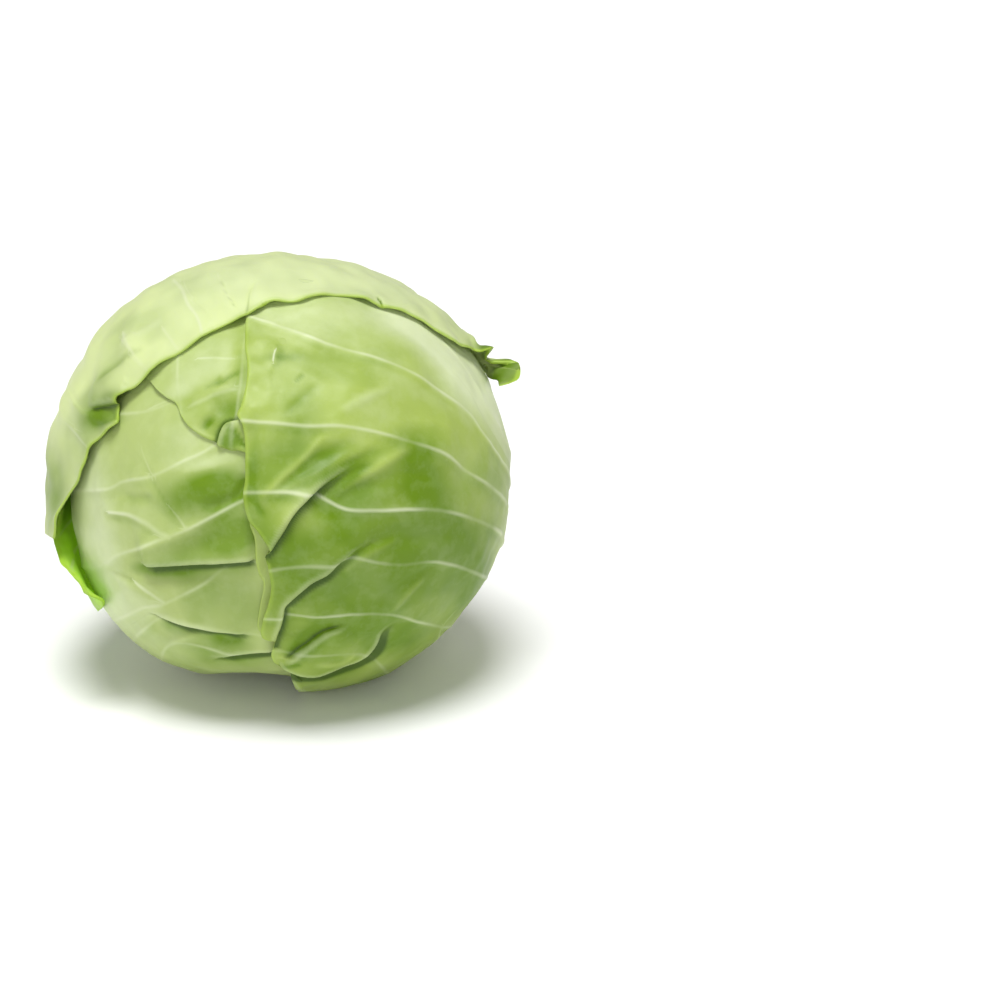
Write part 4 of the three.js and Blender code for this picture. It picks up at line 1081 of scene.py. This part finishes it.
def waxy_leaf(name, green, look, through):
    """Cabbage leaf, grown with a waxy bloom.

    To the eye it is a satin green skin, paler towards the stem and along the veins, with soft pale
    veins, painted shade in its hollows and folds, painted highlights on the lips of folds, a greyish
    bloom in soft clouds, and some light that comes through the blade.
    Its cells are under 0.1 mm; the mottle is drawn at 5 mm because they can't be seen from here.
    """
    material, tree = new_tree(name)
    place = add(tree, "ShaderNodeTexCoord", output="Object")
    clouds, mottle, film = (
        add(tree, "ShaderNodeTexNoise", {"Vector": place, "Scale": 1 / (size * MM),
                                         "Detail": detail, "Roughness": rough})
        for size, detail, rough in ((26, 2.0, 0.5), (5, 3.0, 0.6), (17, 3.0, 0.5)))
    read = {key: add(tree, "ShaderNodeAttribute", output="Fac", attribute_name=key)
            for key in ("deep", "pale", "crease_shade", "margin", "vein_side", "vein_near",
                        "vein_bright")}

    drift = add(tree, "ShaderNodeMapRange", (clouds, 0.35, 0.75, -0.12, 0.25),
                interpolation_type="SMOOTHSTEP")
    # Deep green mixes the leaf's own darker green with painted shade
    deepness_and_shade = add(tree, "ShaderNodeMath", (read["deep"], drift), operation="ADD",
                   use_clamp=True)
    drift = add(tree, "ShaderNodeMapRange", (mottle, 0.3, 0.7, -0.05, 0.05),
                interpolation_type="SMOOTHSTEP")
    # Paleness carries painted highlights besides the leaf's own pale green
    paleness_and_highlight = add(tree, "ShaderNodeMath", (read["pale"], drift), operation="ADD",
                   use_clamp=True)
    across = add(tree, "ShaderNodeMath", (read["vein_side"],), operation="ABSOLUTE")
    across = add(tree, "ShaderNodeMath", (across, read["vein_near"]), operation="MAXIMUM")
    line = add(tree, "ShaderNodeMapRange", (across, 0.0, 1.9, 0.8, 0.0),
               interpolation_type="SMOOTHSTEP")
    line = add(tree, "ShaderNodeMath", (line, read["vein_bright"]), operation="MULTIPLY")
    # Painted shade in the creases of folds
    fold = add(tree, "ShaderNodeMath", (read["crease_shade"], 0.85), operation="MULTIPLY")
    bloom = add(tree, "ShaderNodeMapRange", (film, 0.45, 0.75, 0.0, 0.08),
                interpolation_type="SMOOTHSTEP")
    colour = rgba(green)
    for factor, other in ((deepness_and_shade, look.deep), (paleness_and_highlight, look.pale), (line, look.vein),
                          (read["margin"], look.margin), (bloom, look.bloom),
                          (fold, look.crease_shade)):
        colour = add(tree, "ShaderNodeMix", {0: factor, 6: colour, 7: rgba(other)}, 2,
                     data_type="RGBA")

    roughness = add(tree, "ShaderNodeMapRange", (mottle, 0.3, 0.7, 0.38, 0.48),
                    interpolation_type="SMOOTHSTEP")
    bump = add(tree, "ShaderNodeBump", {"Height": mottle, "Strength": 0.2,
                                        "Distance": 0.25 * MM})
    skin = add(tree, "ShaderNodeBsdfPrincipled", {
        "Base Color": colour, "Roughness": roughness, "IOR": 1.36, "Subsurface Weight": 0.12,
        "Subsurface Radius": (1.0, 1.0, 0.4), "Subsurface Scale": 1.2 * MM, "Normal": bump})
    glow = add(tree, "ShaderNodeBsdfTranslucent", {"Color": colour})
    surface = add(tree, "ShaderNodeMixShader", (through, skin, glow))
    add(tree, "ShaderNodeOutputMaterial", {"Surface": surface})
    return material


def cut_stem_material(look):
    """Cabbage stem, cut with a knife.

    To the eye it is a pale, matt, slightly fibrous core: creamy in the middle, with a greener ring
    of vessels near the skin and a dry, browned rim. Its fibres, about 0.6 mm across, are drawn at
    1.4 mm because finer ones can't be seen at this distance.
    """
    material, tree = new_tree("cut_cabbage_stem")
    place = add(tree, "ShaderNodeTexCoord", output="Object")
    fibre, clouds = (
        add(tree, "ShaderNodeTexNoise", {"Vector": place, "Scale": 1 / (size * MM),
                                         "Detail": detail, "Roughness": rough})
        for size, detail, rough in ((1.4, 3.0, 0.65), (8, 2.0, 0.5)))
    share = add(tree, "ShaderNodeAttribute", output="Fac", attribute_name="share")
    drift = add(tree, "ShaderNodeMapRange", (fibre, 0.3, 0.7, -0.05, 0.05))
    share = add(tree, "ShaderNodeMath", (share, drift), operation="ADD")
    ring, inside, rim, stain = (
        add(tree, "ShaderNodeMapRange", limits, interpolation_type="SMOOTHSTEP")
        for limits in ((share, 0.5, 0.72, 0.0, 1.0), (share, 0.76, 0.84, 0.0, 1.0),
                       (share, 0.9, 1.02, 0.0, 0.8), (clouds, 0.5, 0.8, 0.0, 0.3)))
    colour = rgba(look.stem)
    for factor, other in ((ring, linear("#C9D7A0")), (inside, look.stem),
                          (rim, linear("#A98C5E")), (stain, linear("#D8C79B"))):
        colour = add(tree, "ShaderNodeMix", {0: factor, 6: colour, 7: rgba(other)}, 2,
                     data_type="RGBA")
    bump = add(tree, "ShaderNodeBump", {"Height": fibre, "Strength": 0.4, "Distance": 0.4 * MM})
    flesh = add(tree, "ShaderNodeBsdfPrincipled", {
        "Base Color": colour, "Roughness": 0.62, "IOR": 1.4, "Subsurface Weight": 0.1,
        "Subsurface Radius": (1.0, 0.8, 0.5), "Subsurface Scale": 1.5 * MM, "Normal": bump})
    add(tree, "ShaderNodeOutputMaterial", {"Surface": flesh})
    return material


def plain_material(name, colour, roughness):
    """One even colour, such as matt paper for the floor."""
    material, tree = new_tree(name)
    paint = add(tree, "ShaderNodeBsdfPrincipled",
                {"Base Color": rgba(colour), "Roughness": roughness, "IOR": 1.45})
    add(tree, "ShaderNodeOutputMaterial", {"Surface": paint})
    return material


# What a user may change

def length(name, description, millimetres):
    return FloatProperty(name=name, description=description, default=millimetres * MM, min=0.0,
                         unit="LENGTH", precision=4)


def tint(name, description, hex_colour):
    return FloatVectorProperty(name=name, description=description, default=linear(hex_colour),
                               subtype="COLOR", size=3, min=0.0, max=1.0)


class CabbageSizes(bpy.types.PropertyGroup):
    """Sizes of the head and its leaves"""
    half_width: length("Half width", "Half the ball's width, across its crown", 77.5)
    half_depth: length("Half depth", "Half the ball's depth, from crown to stem", 73.5)
    half_height: length("Half height", "Half the ball's height", 73.5)
    centre_height: length("Centre height", "Height of the ball's centre above the floor", 79.2)
    leaf_pitch: length("Leaf pitch", "Distance from one level of leaves to the next", 3.0)
    blade_thickness: length("Blade thickness", "Thickness of a leaf away from its base", 1.0)
    stem_radius: length("Stem radius", "Radius of the cut stem", 15.0)


class CabbageColours(bpy.types.PropertyGroup):
    """Colours of the leaves and the stem"""
    left: tint("Left leaf", "Green of the left leaf", "#B1C276")
    middle: tint("Middle leaf", "Green of the middle leaf", "#AABE66")
    right: tint("Right leaf", "Green of the right leaf", "#A8BD5C")
    # Partly the leaf's own bright green and partly painted light on its inner face, which sits in shade
    # between the cap and the ball
    outer: tint("Outer leaf", "Green of the narrow outer leaf", "#CBEE60")
    cap: tint("Cap leaf", "Green of the leaf over the top", "#DBE8A6")
    # Deep green is the leaf's own darker green and also painted shade in hollows, under fold lips and on
    # the lower part of leaves
    deep: tint("Deep green", "Darker green in hollows and away from the veins", "#6A8C10")
    # Painted shade: the darkest green, painted into the creases of folds where shade falls
    crease_shade: tint("Crease", "Dark green deep inside a fold", "#35500C")
    # Pale green is the leaf's own paler green near the stem and veins and also painted highlights on
    # fold lips and lit parts
    pale: tint("Pale leaf", "Pale green near the stem and beside the veins", "#DAE5B6")
    vein: tint("Vein", "Whitish green of the veins", "#E4EBC6")
    margin: tint("Margin", "Yellowish green of a leaf's thin edge", "#B4D24E")
    bloom: tint("Bloom", "Greyish waxy bloom", "#CFDBB6")
    inner: tint("Inner leaves", "Pale green of the tight inner leaves", "#DDE6AE")
    stem: tint("Stem", "Cream of the cut stem", "#EDEBCB")


# Operators

HEART_RINGS = 90
HEART_SECTORS = 180
STEM_SECTORS = 120
CUT_FACE = 91.0
CORE_DEPTH = 50.0
CORE_TIP_RADIUS = 9.0
CORE_GAP = 0.4
MOUTH_DISTANCE = 72  # about the ball's radius where the core's hollow opens

# The stem's profile in mm: how far its neck and rim lie below the cut face, how far they and the face
# lie in from its radius, and the rings, the dish and the rind of the cut face
NECK_START = 22
NECK_END = 8
RIM_DEPTH = 1.5
NECK_INSET = 1
RIM_INSET = 2
FACE_INSET = 3.5
PROFILE_STEPS = 6
FACE_MIDDLE = 0.6
FACE_RINGS = 12
FACE_DISH = 0.7
FACE_DISH_SPAN = (10.5, 4.0)
RIND_RADIUS = 12.0
STEM_SHARP_ANGLE = 50


def stem_profile(radius, extra):
    """Radius and distance from the head's centre along the stem axis, from its tip outwards."""
    return np.array([
        (0.0, CUT_FACE - CORE_DEPTH - extra),
        (CORE_TIP_RADIUS + extra, CUT_FACE - CORE_DEPTH - extra),
        (radius - NECK_INSET + extra, CUT_FACE - NECK_START),
        (radius - NECK_INSET + extra, CUT_FACE - NECK_END),
        (radius - RIM_INSET + extra, CUT_FACE - RIM_DEPTH),
        (radius - FACE_INSET + extra, CUT_FACE + extra),
        (0.0, CUT_FACE + extra),
    ])


class CABBAGE_OT_inner_head(bpy.types.Operator):
    """Builds the tight ball of inner leaves with the hollow that the stem's core runs into"""
    bl_idname = "cabbage.inner_head"
    bl_label = "Inner head"

    def execute(self, context):
        """Rings round the stem axis: down the wall of the core's hollow, then over the ball."""
        head = Head(context.scene.cabbage_sizes)
        wall = stem_profile(head.stem_radius, CORE_GAP)[1:3]
        turns = np.linspace(0, 360, HEART_SECTORS, endpoint=False)
        opening = math.degrees(math.asin(wall[-1, 0] / MOUTH_DISTANCE))
        rings = np.linspace(opening, 180, HEART_RINGS)[:-1]
        directions = around(*np.meshgrid(rings, turns, indexing="ij"))
        ball = head.place(directions, head.pressed_flat(directions, head.radius(directions), 0.0))
        centre = np.array([0.0, 0.0, head.centre_height])
        angle = np.radians(turns)[:, None]
        sideways = np.cos(angle) * STEM_RIGHT + np.sin(angle) * STEM_UP
        hollow = np.array([centre + r * sideways + z * STEM_AXIS for r, z in wall])
        points = np.concatenate([hollow, ball])
        tip = centre + wall[0, 1] * STEM_AXIS
        crown = head.place(-STEM_AXIS[None], head.radius(-STEM_AXIS[None]))[0]
        everything = np.vstack([points.reshape(-1, 3), tip, crown])
        faces = turned_faces(len(points), HEART_SECTORS)
        piece = put_mesh("inner_leaves_ball", everything, *faces)
        colour = context.scene.cabbage_colours.inner
        piece.data.materials.append(plain_material("inner_cabbage_leaves", colour, 0.5))
        stands_for(piece, "inner_head")
        return {"FINISHED"}


class CABBAGE_OT_stem(bpy.types.Operator):
    """Builds the short cut stem with its core"""
    bl_idname = "cabbage.stem"
    bl_label = "Stem"

    def execute(self, context):
        """A profile turned about the stem axis, with an outline that waves a little."""
        head = Head(context.scene.cabbage_sizes)
        profile = divided(stem_profile(head.stem_radius, 0.0)[1:-1], PROFILE_STEPS)
        cap = np.linspace(profile[-1, 0], FACE_MIDDLE, FACE_RINGS)[1:]
        profile = np.vstack([profile, np.column_stack([cap, np.full(len(cap), CUT_FACE)])])
        turns = np.linspace(0, 2 * np.pi, STEM_SECTORS, endpoint=False)
        waved = 1 + 0.035 * np.sin(3 * turns + 0.6) + 0.02 * np.sin(7 * turns + 2.0)
        sunk = FACE_DISH * smooth(*FACE_DISH_SPAN, profile[:, 0]) * (profile[:, 1] > CUT_FACE - 0.1)
        centre = np.array([0.0, 0.0, head.centre_height])
        sideways = np.cos(turns)[:, None] * STEM_RIGHT + np.sin(turns)[:, None] * STEM_UP
        reach = np.minimum(1.0, profile[:, 0] / 6)[:, None] * (waved - 1) + 1
        points = (centre + (profile[:, 0][:, None] * reach)[..., None] * sideways
                  + (profile[:, 1] - sunk)[:, None, None] * STEM_AXIS)
        tip = centre + profile[0, 1] * STEM_AXIS
        face = centre + (CUT_FACE - sunk[-1]) * STEM_AXIS
        everything = np.vstack([points.reshape(-1, 3), tip, face])
        share = np.append(np.repeat(profile[:, 0] / RIND_RADIUS, STEM_SECTORS), [0.0, 0.0])
        faces = turned_faces(len(points), STEM_SECTORS)
        piece = put_mesh("cut_stem", everything, *faces, {"share": share}, STEM_SHARP_ANGLE)
        piece.data.materials.append(cut_stem_material(context.scene.cabbage_colours))
        stands_for(piece, "stem")
        return {"FINISHED"}


PLAIN_THROUGH = 0.06  # the share of light through a blade, where a leaf says nothing else


class CABBAGE_OT_leaves(bpy.types.Operator):
    """Builds the five large outer leaves, each one closed blade"""
    bl_idname = "cabbage.leaves"
    bl_label = "Outer leaves"

    def execute(self, context):
        """Each leaf is a grid over its veins, laid out on the head and closed into a blade."""
        head = Head(context.scene.cabbage_sizes)
        look = context.scene.cabbage_colours
        for leaf in LEAVES:
            outer, inner, features = leaf_surface(head, leaf)
            rows, columns = outer.shape[:2]
            points = np.concatenate([outer.reshape(-1, 3), inner.reshape(-1, 3)])
            both = {key: np.concatenate([values.ravel(), values[::2, ::2].ravel()])
                    for key, values in features.items()}
            kind = leaf["name"].split("_")[1]
            piece = put_mesh(f"waved_{leaf['name']}", points, *sheet_faces(rows, columns), both)
            skin = waxy_leaf(f"waxy_cabbage_{leaf['name']}", getattr(look, kind), look,
                             leaf.get("through", PLAIN_THROUGH))
            piece.data.materials.append(skin)
            stands_for(piece, leaf["name"])
        return {"FINISHED"}


FLOOR_HALF = 4000.0
ROOM_STRENGTH = 0.3

# Soft lights: name, the way the light goes, how wide it is in degrees, and its strength
LIGHTS = (
    ("overhead_softbox", (0.05, 0.2, -0.97), 26, 2.75),
    ("left_fill", (0.8, 0.55, -0.25), 60, 0.3),
    ("front_fill", (0.0, 0.94, -0.34), 24, 0.55),
)


class CABBAGE_OT_stage(bpy.types.Operator):
    """Builds the plain floor, the soft lights and the camera"""
    bl_idname = "cabbage.stage"
    bl_label = "Stage"

    def execute(self, context):
        """A square floor, a white room, three wide suns, and a camera that looks a little down."""
        head = Head(context.scene.cabbage_sizes)
        centre = np.array([0.0, 0.0, head.centre_height])
        corners = FLOOR_HALF * np.array([(-1, -1, 0), (1, -1, 0), (1, 1, 0), (-1, 1, 0)], float)
        mesh = bpy.data.meshes.new("floor")
        mesh.from_pydata((corners * MM).tolist(), [], [(0, 1, 2, 3)])
        floor = bpy.data.objects.new("floor", mesh)
        floor.data.materials.append(plain_material("matt_white_paper", linear("#FAFAFA"), 0.9))
        context.scene.collection.objects.link(floor)

        world = bpy.data.worlds.new("soft_white_room")
        world.use_nodes = True
        background = world.node_tree.nodes["Background"]
        background.inputs["Color"].default_value = (1.0, 1.0, 1.0, 1.0)
        background.inputs["Strength"].default_value = ROOM_STRENGTH
        context.scene.world = world

        for name, aim, spread, strength in LIGHTS:
            sun = bpy.data.lights.new(name, "SUN")
            sun.energy = strength
            sun.angle = math.radians(spread)
            light = bpy.data.objects.new(name, sun)
            aim = unit(np.array(aim))
            light.rotation_euler = (math.acos(-aim[2]), 0.0, math.atan2(-aim[0], aim[1]))
            context.scene.collection.objects.link(light)

        camera = bpy.data.cameras.new("camera")
        camera.sensor_width = 36.0
        camera.lens = camera.sensor_width * EYE_DISTANCE / PICTURE_WIDTH
        eye = bpy.data.objects.new("camera", camera)
        eye.location = ((centre + EYE) * MM).tolist()
        eye.rotation_euler = (math.pi / 2 - EYE_ELEVATION, 0.0, 0.0)
        context.scene.collection.objects.link(eye)
        context.scene.camera = eye
        context.scene.view_settings.view_transform = "Standard"
        return {"FINISHED"}


class CABBAGE_PT_panel(bpy.types.Panel):
    """The head's sizes, colours and pieces"""
    bl_idname = "CABBAGE_PT_panel"
    bl_label = "Cabbage head"
    bl_space_type = "VIEW_3D"
    bl_region_type = "UI"
    bl_category = "Cabbage"

    def draw(self, context):
        for group in (context.scene.cabbage_sizes, context.scene.cabbage_colours):
            column = self.layout.column()
            for key in group.bl_rna.properties.keys():
                if key not in {"rna_type", "name"}:
                    column.prop(group, key)
        for operator in OPERATORS:
            self.layout.operator(operator.bl_idname)


OPERATORS = (CABBAGE_OT_inner_head, CABBAGE_OT_stem, CABBAGE_OT_leaves, CABBAGE_OT_stage)
CLASSES = (CabbageSizes, CabbageColours, *OPERATORS, CABBAGE_PT_panel)


def register():
    for cls in CLASSES:
        bpy.utils.register_class(cls)
    bpy.types.Scene.cabbage_sizes = PointerProperty(type=CabbageSizes)
    bpy.types.Scene.cabbage_colours = PointerProperty(type=CabbageColours)


def unregister():
    del bpy.types.Scene.cabbage_colours
    del bpy.types.Scene.cabbage_sizes
    for cls in reversed(CLASSES):
        bpy.utils.unregister_class(cls)


def main():
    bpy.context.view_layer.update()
    register()
    bpy.ops.cabbage.inner_head()
    bpy.ops.cabbage.stem()
    bpy.ops.cabbage.leaves()
    bpy.ops.cabbage.stage()
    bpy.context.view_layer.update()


if __name__ == "__main__":
    main()
